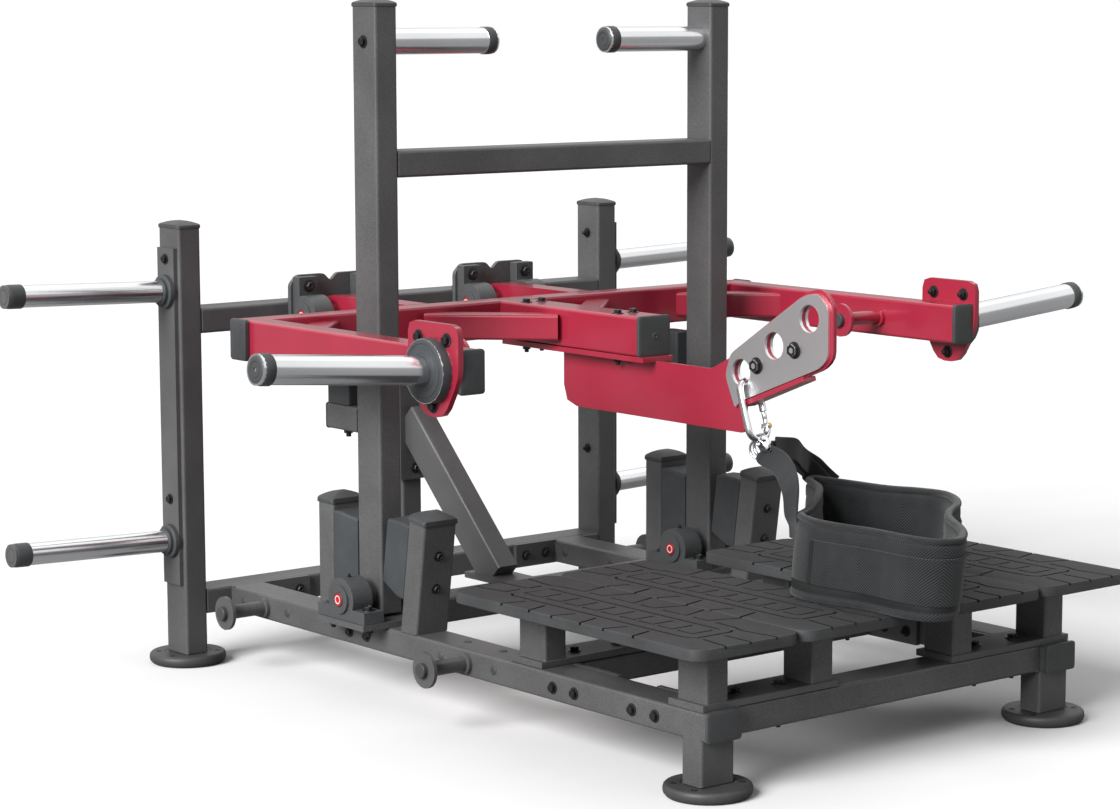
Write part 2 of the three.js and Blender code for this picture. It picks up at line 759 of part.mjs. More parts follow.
// The middle of the lever arm: lateral beam, pivot beams and shafts, central beam and its braces
function armCentre() {
  const low = armShaftZ - tubeWide / 2;
  const high = armShaftZ + tubeWide / 2;
  const rear = lateralFront + tubeThin;
  const lateral = tube('x', [-lateralHalf, lateralFront, low], [lateralHalf, rear, high]);
  const plugs = [-1, 1].map((side) => {
    const from = side * (lateralHalf - bite);
    const to = side * (lateralHalf + capThick);
    return endPlug(
      [Math.min(from, to), lateralFront + capInset, low + capInset],
      [Math.max(from, to), rear - capInset, high - capInset]);
  });
  const central = tube('y', [-tubeWide / 2, centralFront, low], [tubeWide / 2, lateralFront + bite, high]);
  const nose = endPlug(
    [capInset - tubeWide / 2, centralFront - capThick, low + capInset],
    [tubeWide / 2 - capInset, centralFront + bite, high - capInset]);
  const pivots = [-bracketX, bracketX].flatMap((x) => {
    const outline = new THREE.Shape();
    outline.moveTo(rear - bite, low);
    outline.lineTo(armShaftY, low);
    outline.absarc(armShaftY, armShaftZ, tubeWide / 2, -Math.PI / 2, Math.PI / 2);
    outline.lineTo(rear - bite, high);
    outline.closePath();
    const beam = slabAcrossX(outline, x - tubeThin / 2, x + tubeThin / 2, 2 * cornerSteps);
    return [beam, ...shaft(x, armShaftY, armShaftZ)];
  });
  const braces = [-1, 1].map((side) => {
    const halfSlant = tubeThin / Math.SQRT2;
    const startX = tubeWide / 2 + armBraceSpread - halfSlant;
    const from = [side * (startX + overrun), lateralFront + overrun, armShaftZ];
    const to = [side * (startX - armBraceSpread - overrun + halfSlant), 0, armShaftZ];
    to[1] = from[1] - (Math.abs(from[0]) - Math.abs(to[0]));
    return slantedTube(from, to, [0, 0, 1], tubeThin, tubeThin);
  });
  return join(lateral, ...plugs, central, nose, ...pivots, ...braces);
}

// One side of the lever arm: side beam, corner brace, weight flange and peg
function armSide() {
  const low = armShaftZ - tubeWide / 2;
  const high = armShaftZ + tubeWide / 2;
  const inner = sideBeamX - tubeThin / 2;
  const outer = sideBeamX + tubeThin / 2;
  const rear = lateralFront - seat;
  const beam = tube('y', [inner, sideBeamFront, low], [outer, rear, high]);
  const nose = endPlug(
    [inner + capInset, sideBeamFront - capThick, low + capInset],
    [outer - capInset, sideBeamFront + bite, high - capInset]);
  const shift = tubeThin / Math.SQRT2;
  const from = [inner - cornerBraceSpread + shift - tubeThin, rear + tubeThin, armShaftZ];
  const to = [inner + tubeThin / 2, rear - cornerBraceSpread + shift - tubeThin / 2, armShaftZ];
  const brace = slantedTube(from, to, [0, 0, 1], tubeThin, tubeThin);
  const behind = plate([0, rear, low - overrun], [outer, rear + 2 * tubeWide, high + overrun]);
  const flange = slabAcrossX(roundedOutline([
    [flangeY - flangeFootHalf, armShaftZ - flangeLow],
    [flangeY + flangeFootHalf, armShaftZ - flangeLow],
    [flangeY + flangeHalf, armShaftZ - flangeShoulder],
    [flangeY + flangeHalf, armShaftZ + flangeHigh],
    [flangeY - flangeHalf, armShaftZ + flangeHigh],
    [flangeY - flangeHalf, armShaftZ - flangeShoulder],
  ], flangeCorner), outer - bite, outer + plateThick);
  return join(beam, nose, cut(brace, behind), flange, ...peg(inner, armPegY, armShaftZ, armPegLength, -1));
}

// A weight horn with the rubber disc at its root
function weightHorn() {
  const root = sideBeamX + tubeThin / 2 + plateThick + seat;
  const rise = Math.tan(radians(hornTilt));
  const at = (distance) => [root + distance, flangeY, armShaftZ + distance * rise];
  return join(
    rod([root, flangeY, armShaftZ], [root + hornDiscThick, flangeY, armShaftZ], hornDiscRadius),
    rod(at(hornDiscThick / 2), at(hornLength), hornRadius),
    rod(at(hornLength - bite), at(hornLength + hornCap), hornRadius + capInset));
}

// Places on the hook plates, from shares of their length and height
function hookPoint([u, v], margin = 0) {
  const length = hookRear - hookFront + 2 * margin;
  const height = hookHigh - hookLow + 2 * margin;
  return [hookFront - margin + u * length, hookLow - margin + v * height];
}

function hookOutline(margin) {
  return roundedOutline(hookOutlineShares.map((share) => hookPoint(share, margin)), hookCorner);
}

function hookHoles() {
  return hookHoleShares.map((share) => {
    const [y, z] = hookPoint(share);
    return rod([-stripHalf, y, z], [stripHalf, y, z], hookHoleRadius);
  });
}

// The lever plate: flange under the central beam, web, hook end and stiffening strip
function leverPlate() {
  const beamUnder = armShaftZ - tubeWide / 2 - seat;
  const webTop = beamUnder - plateThick;
  const half = leverThick / 2;
  const flange = plate(
    [-tubeWide / 2, leverStepRear + plateThick, webTop],
    [tubeWide / 2, leverFlangeRear, beamUnder]);
  const hookHeel = hookPoint([0.95, 0.42]);
  const hookToe = hookPoint([0.862, 0.058], hookMargin);
  const web = slabAcrossX(roundedOutline([
    [leverRear, webTop + bite, 0],
    [leverStepRear, webTop + bite, 0],
    [leverStepRear, webTop + leverStepRise, 0],
    [leverStepFront, webTop + leverStepRise],
    [hookHeel[0], hookHeel[1], 0],
    [hookToe[0], hookToe[1], 0],
    [leverNose, hookToe[1], 0],
    [leverNose, leverLow],
    [leverRear, leverLow, leverCorner],
  ], leverNoseCorner), -half, half);
  const hook = slabAcrossX(hookOutline(hookMargin), -half, half);
  const edgeStart = new THREE.Vector2(...hookPoint(hookOutlineShares[8], hookMargin));
  const edgeEnd = new THREE.Vector2(...hookPoint(hookOutlineShares[7], hookMargin));
  const stripEnds = stripShares.map((share) => edgeStart.clone().lerp(edgeEnd, share));
  const along = edgeEnd.clone().sub(edgeStart).normalize();
  const down = new THREE.Vector2(-along.y, along.x);
  const corner = (end, depth) => end.clone().addScaledVector(down, depth).toArray();
  const strip = slabAcrossX(roundedOutline([
    corner(stripEnds[0], -bite), corner(stripEnds[1], -bite),
    corner(stripEnds[1], stripThick), corner(stripEnds[0], stripThick),
  ], 0), -stripHalf, stripHalf);
  const boltHoles = hookBoltShares.map((share) => {
    const [y, z] = hookPoint(share);
    return rod([-stripHalf, y, z], [stripHalf, y, z], hookBoltRadius + seat, smallRoundSides);
  });
  return cut(join(flange, web, hook, strip), ...hookHoles(), ...boltHoles);
}

// Two wear plates on the hook end, held to each other by two bolts through it
function hookWearPlates() {
  const inner = leverThick / 2 + seat;
  const outer = inner + hookWearThick;
  const layers = [[-outer, -inner], [inner, outer]];
  const sheets = layers.map(([from, to]) => slabAcrossX(hookOutline(0), from, to, 2 * cornerSteps));
  const bolts = hookBoltShares.flatMap((share) => {
    const [y, z] = hookPoint(share);
    const head = outer + hookBoltHeadHigh;
    return [
      rod([-outer, y, z], [outer, y, z], hookBoltRadius, smallRoundSides),
      rod([outer - bite, y, z], [head, y, z], hookBoltHeadRadius, 6),
      rod([-head, y, z], [bite - outer, y, z], hookBoltHeadRadius, 6),
    ];
  });
  return cut(join(...sheets, ...bolts), ...hookHoles());
}

// The carabiner's own frame: origin in the hook hole, u across, v down along the tilt
const hookHole = hookPoint(hookHoleShares[2]);
const halfStack = leverThick / 2 + seat + hookWearThick;
const topSag = carabinerHalf - Math.sqrt(carabinerHalf ** 2 - halfStack ** 2);
const carabinerDrop = hookHoleRadius - carabinerRod - topSag - 2 * seat - carabinerPlay;

function carabinerPoint(u, v) {
  const tilt = radians(carabinerTilt);
  return new THREE.Vector3(u, hookHole[0] - v * Math.sin(tilt), hookHole[1] - v * Math.cos(tilt));
}

// The curved rod of the carabiner, open on the right where the gate closes it
function carabiner() {
  const top = carabinerDrop + carabinerHalf;
  const bottom = carabinerDrop + carabinerLength - carabinerHalf;
  const points = [carabinerPoint(carabinerHalf, carabinerDrop + gateTop)];
  const turns = 10;
  for (let i = 0; i <= turns; i += 1) {
    const angle = Math.PI * i / turns;
    points.push(carabinerPoint(carabinerHalf * Math.cos(angle), top - carabinerHalf * Math.sin(angle)));
  }
  for (let i = 0; i <= turns; i += 1) {
    const angle = Math.PI * i / turns;
    points.push(carabinerPoint(-carabinerHalf * Math.cos(angle), bottom + carabinerHalf * Math.sin(angle)));
  }
  points.push(carabinerPoint(carabinerHalf, carabinerDrop + gateBottom));
  const path = new THREE.CatmullRomCurve3(points, false, 'centripetal');
  const outline = new THREE.Shape().absarc(0, 0, carabinerRod, 0, 2 * Math.PI);
  const options = { steps: carabinerSteps, extrudePath: path, curveSegments: 5, bevelEnabled: false };
  return new THREE.ExtrudeGeometry(outline, options);
}

// The gate: a straight rod that turns in about its round lower end
function carabinerGate() {
  const low = carabinerDrop + gateBottom - gatePlay - gateRod;
  const high = carabinerDrop + gateTop + gatePlay;
  const pivot = carabinerPoint(carabinerHalf, low);
  const ball = new THREE.SphereGeometry(gateRod, smallRoundSides / 2, 8).translate(pivot.x, pivot.y, pivot.z);
  const bar = rod(pivot.toArray(), carabinerPoint(carabinerHalf, high).toArray(), gateRod - capInset / 2, 12);
  return join(ball, bar);
}

// A flat strap through a list of [place, direction of its width]
function ribbon(stations) {
  const position = [];
  const index = [];
  stations.forEach(([place, width], i) => {
    const here = new THREE.Vector3(...place);
    const before = new THREE.Vector3(...stations[Math.max(i - 1, 0)][0]);
    const after = new THREE.Vector3(...stations[Math.min(i + 1, stations.length - 1)][0]);
    const along = after.sub(before).normalize();
    const across = new THREE.Vector3(...width);
    across.addScaledVector(along, -across.dot(along)).normalize();
    const out = new THREE.Vector3().crossVectors(along, across).multiplyScalar(strapThick / 2);
    across.multiplyScalar(strapWide / 2);
    for (const [a, b] of [[-1, -1], [1, -1], [1, 1], [-1, 1]]) {
      const corner = here.clone().addScaledVector(across, a).addScaledVector(out, b);
      position.push(corner.x, corner.y, corner.z);
    }
  });
  const last = 4 * (stations.length - 1);
  for (let i = 0; i < stations.length - 1; i += 1) {
    for (let k = 0; k < 4; k += 1) {
      const a = 4 * i + k;
      const b = 4 * i + (k + 1) % 4;
      index.push(a, b, b + 4, a, b + 4, a + 4);
    }
  }
  index.push(0, 2, 1, 0, 3, 2, last, last + 1, last + 2, last, last + 2, last + 3);
  const geometry = new THREE.BufferGeometry();
  geometry.setAttribute('position', new THREE.BufferAttribute(new Float32Array(position), 3));
  geometry.setIndex(index);
  return geometry;
}

// The belt's middle line as a smooth closed curve, and a line beside it
function beltPoint(share) {
  return new THREE.Vector3(beltX + share[0] * beltHalfX, beltY + share[1] * beltHalfY, 0);
}

const beltCurve = new THREE.CatmullRomCurve3(beltOutlineShares.map(beltPoint), true, 'centripetal');

function beltLine(offset) {
  const points = [];
  for (let i = 0; i < beltSteps; i += 1) {
    const place = beltCurve.getPointAt(i / beltSteps);
    const along = beltCurve.getTangentAt(i / beltSteps);
    points.push(new THREE.Vector2(place.x - along.y * offset, place.y + along.x * offset));
  }
  return points;
}

function belt() {
  const outline = new THREE.Shape(beltLine(-beltThick / 2));
  outline.holes.push(new THREE.Path(beltLine(beltThick / 2)));
  const low = deckUnder + deckThick + seat;
  return slabAcrossZ(outline, low, low + beltHigh);
}

// Two straps from the ring to the outside of the belt, with the ring that hangs in the carabiner
function beltStraps() {
  const ringDrop = carabinerDrop + carabinerLength - carabinerRod - ringPlay - ringWire + ringRadius;
  const ringCentre = carabinerPoint(0, ringDrop);
  const ring = new THREE.TorusGeometry(ringRadius, ringWire, 8, roundSides).rotateY(Math.PI / 2);
  ring.translate(ringCentre.x, ringCentre.y, ringCentre.z);
  const knotReach = [ringRadius * Math.cos(Math.PI / 6), ringRadius * Math.sin(Math.PI / 6)];
  const knot = [0, ringCentre.y - knotReach[0], ringCentre.z - knotReach[1]];
  const deck = deckUnder + deckThick;
  const stand = beltThick / 2 + strapThick / 2 + strapPlay;
  const free = ([u, v, w]) => [beltX + u * beltHalfX, beltY + v * beltHalfY, deck + w * beltHigh];
  const beside = (corner, w) => {
    const place = beltCurve.getPoint(corner / beltOutlineShares.length);
    const along = beltCurve.getTangent(corner / beltOutlineShares.length);
    return [place.x + along.y * stand, place.y - along.x * stand, deck + w * beltHigh];
  };
  const level = [0.35, 0.93, 0];
  const leftTurns = [[0.6, 0, 0.8], [0.6, 0.1, 0.75], [0.5, 0.6, 0.5], [0.25, 0.9, 0.15], level, level];
  const upright = [0, 0, 1];
  const left = ribbon([
    [knot, [0.5, -0.2, 0.8]],
    ...strapLeftShares.map((share, i) => [free(share), leftTurns[i]]),
  ]);
  const right = ribbon([
    [knot, [0.2, 0, 0.95]],
    ...strapRightShares.map((share) => [free(share), upright]),
    ...strapRightEndShares.map((w, i) => [beside(strapRightCorner - i, w), upright]),
  ]);
  return join(ring, left, right);
}

// The whole machine
footPads();
addPair('rail', rail(), charcoal);
add('front_cross_tube', crossTube(frontTubeY, 1), charcoal);
add('middle_cross_tube', crossTube(middleTubeY, -1), charcoal);
add('pivot_cross_tube', crossTube(pivotTubeY, -1), charcoal);
add('rear_base_tube', rearBaseTube(), charcoal);
addPair('rear_post', rearPost(), charcoal);
add('rear_upper_frame', rearUpperFrame(), charcoal);
add('diagonal_brace', diagonalBrace(), charcoal);
addPair('front_platform_stand', platformStand(frontTubeY), charcoal);
addPair('rear_platform_stand', platformStand(middleTubeY), charcoal);
treadBoards();
bumpers();
bearings('handle_bearing', uprightX, 0);
bearings('arm_bearing', bracketX, Math.PI / 2);
addPair('rear_bracket', rearBracket(), charcoal);
addPair('storage_rack', storageRack(), charcoal);
addPair('handle_upright', upright(), charcoal);
add('handle_crossbar', crossbar(), charcoal);
addPair('handle', handle(), satinChrome);
addPair('arm_support_pad', supportPad(), rubberBlack);
add('arm_centre', armCentre(), raspberry);
addPair('arm_side', armSide(), raspberry);
addPair('weight_horn', weightHorn(), satinChrome);
add('lever_plate', leverPlate(), raspberry);
add('hook_wear_plates', hookWearPlates(), brushed);
add('carabiner', carabiner(), satinChrome);
add('carabiner_gate', carabinerGate(), satinChrome);
add('belt_straps', beltStraps(), webbing);
add('belt', belt(), webbing);

// The origin lies on the floor under the middle of the machine
const extent = new THREE.Box3().setFromObject(machine);
machine.position.y = -(extent.min.y + extent.max.y) / 2;
machine.position.x = -(extent.min.x + extent.max.x) / 2;
machine.updateMatrixWorld(true);

export default machine;
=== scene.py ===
# Looks of a belt squat machine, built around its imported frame.
# Metres, +X to the machine's right, +Y to its back, +Z up, the floor at zero.
import json
import math

import bmesh
import bpy
from mathutils import Matrix, Vector


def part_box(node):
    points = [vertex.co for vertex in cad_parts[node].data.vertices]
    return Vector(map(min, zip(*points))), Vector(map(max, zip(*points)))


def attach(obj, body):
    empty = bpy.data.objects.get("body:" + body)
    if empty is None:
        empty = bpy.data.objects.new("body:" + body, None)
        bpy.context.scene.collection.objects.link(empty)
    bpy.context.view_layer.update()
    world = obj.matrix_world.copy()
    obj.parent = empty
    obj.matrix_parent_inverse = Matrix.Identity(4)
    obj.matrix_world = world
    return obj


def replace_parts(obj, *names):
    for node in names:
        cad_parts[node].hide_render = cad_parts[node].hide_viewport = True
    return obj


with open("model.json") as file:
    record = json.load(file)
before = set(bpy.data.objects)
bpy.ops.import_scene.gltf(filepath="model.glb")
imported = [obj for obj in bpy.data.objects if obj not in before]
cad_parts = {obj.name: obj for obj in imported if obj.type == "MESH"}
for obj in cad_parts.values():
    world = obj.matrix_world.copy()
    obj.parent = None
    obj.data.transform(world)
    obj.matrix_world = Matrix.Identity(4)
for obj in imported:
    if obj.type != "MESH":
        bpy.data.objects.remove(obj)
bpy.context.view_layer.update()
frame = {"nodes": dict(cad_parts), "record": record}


def middle(node):
    """The centre of a node's box at rest."""
    low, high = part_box(node)
    return (low + high) / 2


# Driving sizes, the same as the frame's
TUBE_WIDE = 0.075
TUBE_THIN = 0.050
HALF_WIDE = TUBE_WIDE / 2
HALF_THIN = TUBE_THIN / 2
PROUD = 0.0006
GAP = 0.0003
END_PLATE = 0.010 + GAP
BRACE_PLATE = 0.012 + GAP
STAND_PLATE = 0.012
RAIL_X = middle("front_foot_pad_right").x
RAIL_UNDER = 0.099
RAIL_TOP = 0.149
RAIL_MIDDLE = (RAIL_UNDER + RAIL_TOP) / 2
RAIL_SIDE = RAIL_X + HALF_WIDE
RAIL_INSIDE = RAIL_X - HALF_WIDE
DECK_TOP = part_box("inner_tread_board_right")[1].z
FRONT_Y = middle("front_foot_pad_right").y
POST_X = middle("rear_foot_pad_right").x
POST_Y = middle("rear_foot_pad_right").y
POST_TOP = 0.872
PIVOT_Y = middle("handle_crossbar").y
PIVOT_Z = 0.1993
UPRIGHT_X = 0.4114
UPRIGHT_TOP = 1.303
ARM_Z = 0.687
ARM_PIVOT_Y = FRONT_Y + 1.3509
ARM_BEARING_X = 0.206
BOTH = ((-1, "left"), (1, "right"))
SIDES = (-1, 1)
X = Vector((1, 0, 0))
Y = Vector((0, 1, 0))
Z = Vector((0, 0, 1))

# Distances along y from the front foot posts, for at()
RAIL_NOSE = -0.0352
FRONT_BUMPER = 0.797
REAR_BUMPER = 1.0625
REAR_POST = 1.4375
REAR_FRONT = REAR_POST - HALF_WIDE
REAR_BACK = REAR_POST + HALF_WIDE
HORN_Y = 0.458


def at(x, y, z):
    """A point whose y is measured from the front foot posts."""
    return Vector((x, FRONT_Y + y, z))


# Materials

def colour(red, green, blue):
    """A display colour from 0 to 255, as the linear colour that a shader takes."""
    shares = [c / 255 for c in (red, green, blue)]
    return tuple(s / 12.92 if s < 0.04045 else ((s + 0.055) / 1.055) ** 2.4 for s in shares) + (1.0,)


def grey(level):
    """A display grey from 0 to 255."""
    return colour(level, level, level)


class Finish:
    """One procedural material: a shader with textures laid over it."""

    def __init__(self, name, roughness=0.5, metallic=0.0, **sockets):
        self.material = bpy.data.materials.new(name)
        self.material.use_nodes = True
        self.tree = self.material.node_tree
        self.shader = self.tree.nodes["Principled BSDF"]
        self.shader.inputs["Roughness"].default_value = roughness
        self.shader.inputs["Metallic"].default_value = metallic
        for socket, value in sockets.items():
            self.shader.inputs[socket.replace("_", " ")].default_value = value
        self.places = self.tree.nodes.new("ShaderNodeTexCoord")

    def add(self, kind, values=(), **settings):
        """A node with its settings and the values of its free sockets."""
        node = self.tree.nodes.new(kind)
        for name, value in settings.items():
            setattr(node, name, value)
        for socket, value in dict(values).items():
            node.inputs[socket].default_value = value
        return node

    def link(self, source, target):
        self.tree.links.new(source, target)

    def noise(self, scale, detail=2.0, stretch=(1, 1, 1)):
        mapping = self.add("ShaderNodeMapping", {"Scale": stretch})
        self.link(self.places.outputs["Object"], mapping.inputs["Vector"])
        noise = self.add("ShaderNodeTexNoise", {"Scale": scale, "Detail": detail, "Roughness": 0.6})
        self.link(mapping.outputs["Vector"], noise.inputs["Vector"])
        return noise.outputs["Fac"]

    def speck(self, scale):
        cells = self.add("ShaderNodeTexVoronoi", {"Scale": scale})
        self.link(self.places.outputs["Object"], cells.inputs["Vector"])
        return cells.outputs["Distance"]

    def cloth_places(self):
        """The run along a cloth and the height across it, from UVs in metres."""
        split = self.add("ShaderNodeSeparateXYZ")
        self.link(self.places.outputs["UV"], split.inputs["Vector"])
        return split.outputs["X"], split.outputs["Y"]

    def math(self, operation, first, second=0.0, third=0.0):
        node = self.add("ShaderNodeMath", operation=operation)
        for i, value in enumerate((first, second, third)):
            if isinstance(value, (int, float)):
                node.inputs[i].default_value = value
            else:
                self.link(value, node.inputs[i])
        return node.outputs[0]

    def waves(self, source, pitch):
        return self.math("SINE", self.math("MULTIPLY", source, 2 * math.pi / pitch))

    def tint(self, source, dark, light, low=0.3, high=0.7):
        ramp = self.add("ShaderNodeValToRGB")
        ramp.color_ramp.elements[0].position = low
        ramp.color_ramp.elements[0].color = dark
        ramp.color_ramp.elements[1].position = high
        ramp.color_ramp.elements[1].color = light
        self.link(source, ramp.inputs["Fac"])
        return ramp.outputs["Color"]

    def blend(self, factor, first, second, mode="MIX"):
        mix = self.add("ShaderNodeMix", data_type="RGBA", blend_type=mode)
        if isinstance(factor, float):
            mix.inputs[0].default_value = factor
        else:
            self.link(factor, mix.inputs[0])
        self.link(first, mix.inputs[6])
        self.link(second, mix.inputs[7])
        return mix.outputs[2]

    def base(self, source):
        self.link(source, self.shader.inputs["Base Color"])

    def mottled(self, fine, tones, span, broad, shadow):
        """A fine pattern in two tones, darkened in broad patches."""
        tone = self.tint(fine, *tones, *span)
        self.base(self.blend(1.0, tone, self.tint(broad, shadow, grey(255)), "MULTIPLY"))

    def rough(self, source, low, high):
        span = self.add("ShaderNodeMapRange", {"To Min": low, "To Max": high})
        self.link(source, span.inputs["Value"])
        self.link(span.outputs["Result"], self.shader.inputs["Roughness"])
        return self

    def relief(self, *layers):
        """Bumps laid over each other, each a source and its height in metres."""
        before = None
        for source, height in layers:
            bump = self.add("ShaderNodeBump", {"Strength": 1.0, "Distance": height})
            self.link(source, bump.inputs["Height"])
            if before:
                self.link(before, bump.inputs["Normal"])
            before = bump.outputs["Normal"]
        self.link(before, self.shader.inputs["Normal"])
        return self


def powder_coat(name, dark, light, roughness, grain=0.00025, metallic=0.1):
    """Powder paint whose fine grain shows in tone and relief."""
    finish = Finish(name, metallic=metallic)
    fine = finish.noise(560, 2.0)
    broad = finish.noise(7, 3.0)
    finish.mottled(fine, (dark, light), (0.35, 0.65), broad, grey(222))
    return finish.rough(broad, roughness - 0.05, roughness + 0.05).relief((fine, grain)).material


def gloss_paint(name, dark, light):
    """Paint under a clear coat, with a faint peel."""
    finish = Finish(name, metallic=0.1, Coat_Weight=0.45, Coat_Roughness=0.12)
    peel = finish.noise(260, 1.0)
    finish.base(finish.tint(finish.noise(5, 2.0), dark, light))
    return finish.rough(peel, 0.26, 0.34).relief((peel, 0.00003)).material


def turned_metal(name, dark, light, roughness, stretch):
    """Bare or plated metal with fine lines, drawn out by a stretch."""
    finish = Finish(name, metallic=1.0)
    lines = finish.noise(90, 2.0, stretch)
    finish.base(finish.tint(finish.noise(4, 1.0), dark, light))
    return finish.rough(lines, roughness - 0.03, roughness + 0.03).relief((lines, 0.000002)).material


def moulded(name, dark, light, roughness, grain_scale=650, grain=0.00016, speckle=False):
    """Rubber or plastic with a grain, and with specks where it is coarse."""
    finish = Finish(name, Specular_IOR_Level=0.4)
    fine = finish.noise(grain_scale, 3.0)
    broad = finish.noise(12, 3.0)
    finish.mottled(fine, (dark, light), (0.32, 0.68), broad, grey(214))
    layers = [(fine, grain)]
    if speckle:
        layers.append((finish.speck(420), grain * 1.5))
    return finish.rough(broad, roughness - 0.07, roughness + 0.07).relief(*layers).material


def herringbone(name, dark, light, pitch=0.0056, column=0.060):
    """A twill whose ribs turn back at each column."""
    finish = Finish(name, Sheen_Weight=0.15, Sheen_Roughness=0.5, Specular_IOR_Level=0.25)
    along, up = finish.cloth_places()
    folded = finish.math("PINGPONG", along, column)
    rib = finish.waves(finish.math("ADD", up, folded), pitch)
    yarn = finish.waves(finish.math("SUBTRACT", up, folded), pitch * 0.8)
    weave = finish.math("MULTIPLY_ADD", yarn, 0.35, rib)
    height = finish.math("MULTIPLY_ADD", weave, 0.36, 0.5)
    broad = finish.noise(22, 3.0)
    finish.mottled(height, (dark, light), (0.15, 0.9), broad, colour(205, 206, 208))
    return finish.rough(broad, 0.72, 0.86).relief((height, 0.0007), (broad, 0.0006)).material


def ribbed_webbing(name, dark, light, pitch=0.0034):
    """Ribs along the strap, crossed by finer picks."""
    finish = Finish(name, Sheen_Weight=0.2, Sheen_Roughness=0.5, Specular_IOR_Level=0.25)
    along, up = finish.cloth_places()
    weave = finish.math("MULTIPLY", finish.waves(up, pitch), finish.waves(along, pitch * 0.7))
    height = finish.math("MULTIPLY_ADD", weave, 0.5, 0.5)
    broad = finish.noise(30, 3.0)
    finish.mottled(height, (dark, light), (0.1, 0.9), broad, colour(205, 206, 208))
    return finish.rough(broad, 0.75, 0.88).relief((height, 0.0003), (broad, 0.0004)).material


RECIPES = {
    "frame_paint": (powder_coat, (78, 78, 79), (102, 101, 102), 0.42),
    "arm_paint": (gloss_paint, (154, 34, 56), (164, 40, 62)),
    "bearing_paint": (powder_coat, (66, 68, 69), (90, 92, 93), 0.46, 0.0004),
    "rubber": (moulded, (54, 57, 59), (72, 75, 77), 0.58),
    "tread_rubber": (moulded, (42, 42, 42), (60, 59, 60), 0.76, 420, 0.0005, True),
    "chrome": (turned_metal, (216, 217, 219), (226, 227, 229), 0.2, (1, 6, 6)),
    "wear_steel": (turned_metal, (226, 225, 226), (238, 237, 238), 0.38, (1, 20, 3)),
    "cap_plastic": (moulded, (58, 60, 61), (74, 76, 77), 0.46, 900, 0.00008),
    "fastener": (powder_coat, (36, 36, 38), (54, 54, 56), 0.36, 0.00003, 0.5),
    "brass": (turned_metal, (200, 168, 106), (216, 186, 122), 0.3, (1, 10, 10)),
    "belt_fabric": (herringbone, (8, 9, 10), (58, 60, 62)),
    "webbing": (ribbed_webbing, (22, 24, 26), (46, 48, 50)),
    "foot_rubber": (moulded, (58, 58, 59), (76, 76, 77), 0.5),
    "tread_side": (moulded, (52, 53, 54), (70, 71, 72), 0.66),
    # The groove finish is painted shade: a near-black colour for the walls and floors of the tread grooves,
    # which stand in shade.
    "groove": (moulded, (10, 10, 10), (18, 18, 18), 0.85),
    "belt_band": (moulded, (14, 15, 16), (26, 27, 28), 0.7, 900, 0.0002),
    "red_cap": (moulded, (190, 16, 28), (214, 26, 38), 0.35, 900, 0.00004),
    "pale_ring": (moulded, (224, 220, 218), (240, 237, 235), 0.45, 900, 0.00004),
}
MATERIALS = {name: make(name, colour(*dark), colour(*light), *rest)
             for name, (make, dark, light, *rest) in RECIPES.items()}


# Meshes

def put(name, data):
    """Adds an object of some data to the scene."""
    made = bpy.data.objects.new(name, data)
    bpy.context.scene.collection.objects.link(made)
    return made


def mesh_of(name, bm, finishes=()):
    """A mesh of a bmesh, with its materials by name."""
    mesh = bpy.data.meshes.new(name)
    bm.to_mesh(mesh)
    bm.free()
    for finish in finishes:
        mesh.materials.append(MATERIALS[finish])
    return mesh


def piece(name, bm, body, slot, finishes=None, smooth_angle=38):
    """Makes an object of a bmesh, rides it on its body and gives it its finish."""
    bmesh.ops.recalc_face_normals(bm, faces=bm.faces)
    mesh = mesh_of(name, bm, finishes or (slot,))
    mesh.shade_smooth()
    mesh.set_sharp_from_angle(angle=math.radians(smooth_angle))
    made = put(name, mesh)
    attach(made, body)
    return made


def facing(origin, direction):
    """A matrix that takes +Z to a direction and the origin to a point."""
    turn = Z.rotation_difference(Vector(direction)).to_matrix().to_4x4()
    return Matrix.Translation(origin) @ turn


def circle(bm, place, radius, height, segments):
    """Vertices round a placement's +Z."""
    angles = [2 * math.pi * i / segments for i in range(segments)]
    points = [Vector((radius * math.cos(a), radius * math.sin(a), height)) for a in angles]
    return [bm.verts.new(place @ point) for point in points]


def bridge(bm, rings, index=0, closed=False):
    """Faces between rings of vertices, where a ring may be one point."""
    pairs = list(zip(rings, rings[1:])) + ([(rings[-1], rings[0])] if closed else [])
    for lower, upper in pairs:
        below, above = len(lower), len(upper)
        count = max(below, above)
        for i in range(count):
            k = (i + 1) % count
            corners = (lower[i % below], lower[k % below], upper[k % above], upper[i % above])
            bm.faces.new(list(dict.fromkeys(corners))).material_index = index


def lathe(bm, profile, place, segments, index=0):
    """A closed turned body from (radius, height) pairs, with flat covers where they end off the axis."""
    whole = list(profile)
    if whole[0][0] > 0:
        whole.insert(0, (0, whole[0][1]))
    if whole[-1][0] > 0:
        whole.append((0, whole[-1][1]))
    rings = [circle(bm, place, radius, height, segments if radius else 1) for radius, height in whole]
    bridge(bm, rings, index)


def turned(name, body, slot, profile, places, segments, finishes=None):
    """A piece of one turned profile at one place or more."""
    bm = bmesh.new()
    for place in places:
        lathe(bm, profile, place, segments)
    return piece(name, bm, body, slot, finishes)


def rod(radius, low, high):
    """The profile of a plain rod."""
    return [(radius, low), (radius, high)]


def disc_profile(radius, height, edge, start=0.0):
    """A flat disc with rounded rims."""
    top = start + height
    return [(radius - edge, start), (radius, start + edge), (radius, top - edge),
            (radius - edge * 0.3, top - edge * 0.3), (radius - edge, top)]


def outline(half_u, half_v, corner, steps=5):
    """Points round a rounded rectangle."""
    points = []
    for k, (su, sv) in enumerate(((1, 1), (-1, 1), (-1, -1), (1, -1))):
        for i in range(steps + 1):
            angle = math.pi / 2 * (k + i / steps)
            points.append((su * (half_u - corner) + corner * math.cos(angle),
                           sv * (half_v - corner) + corner * math.sin(angle)))
    return points


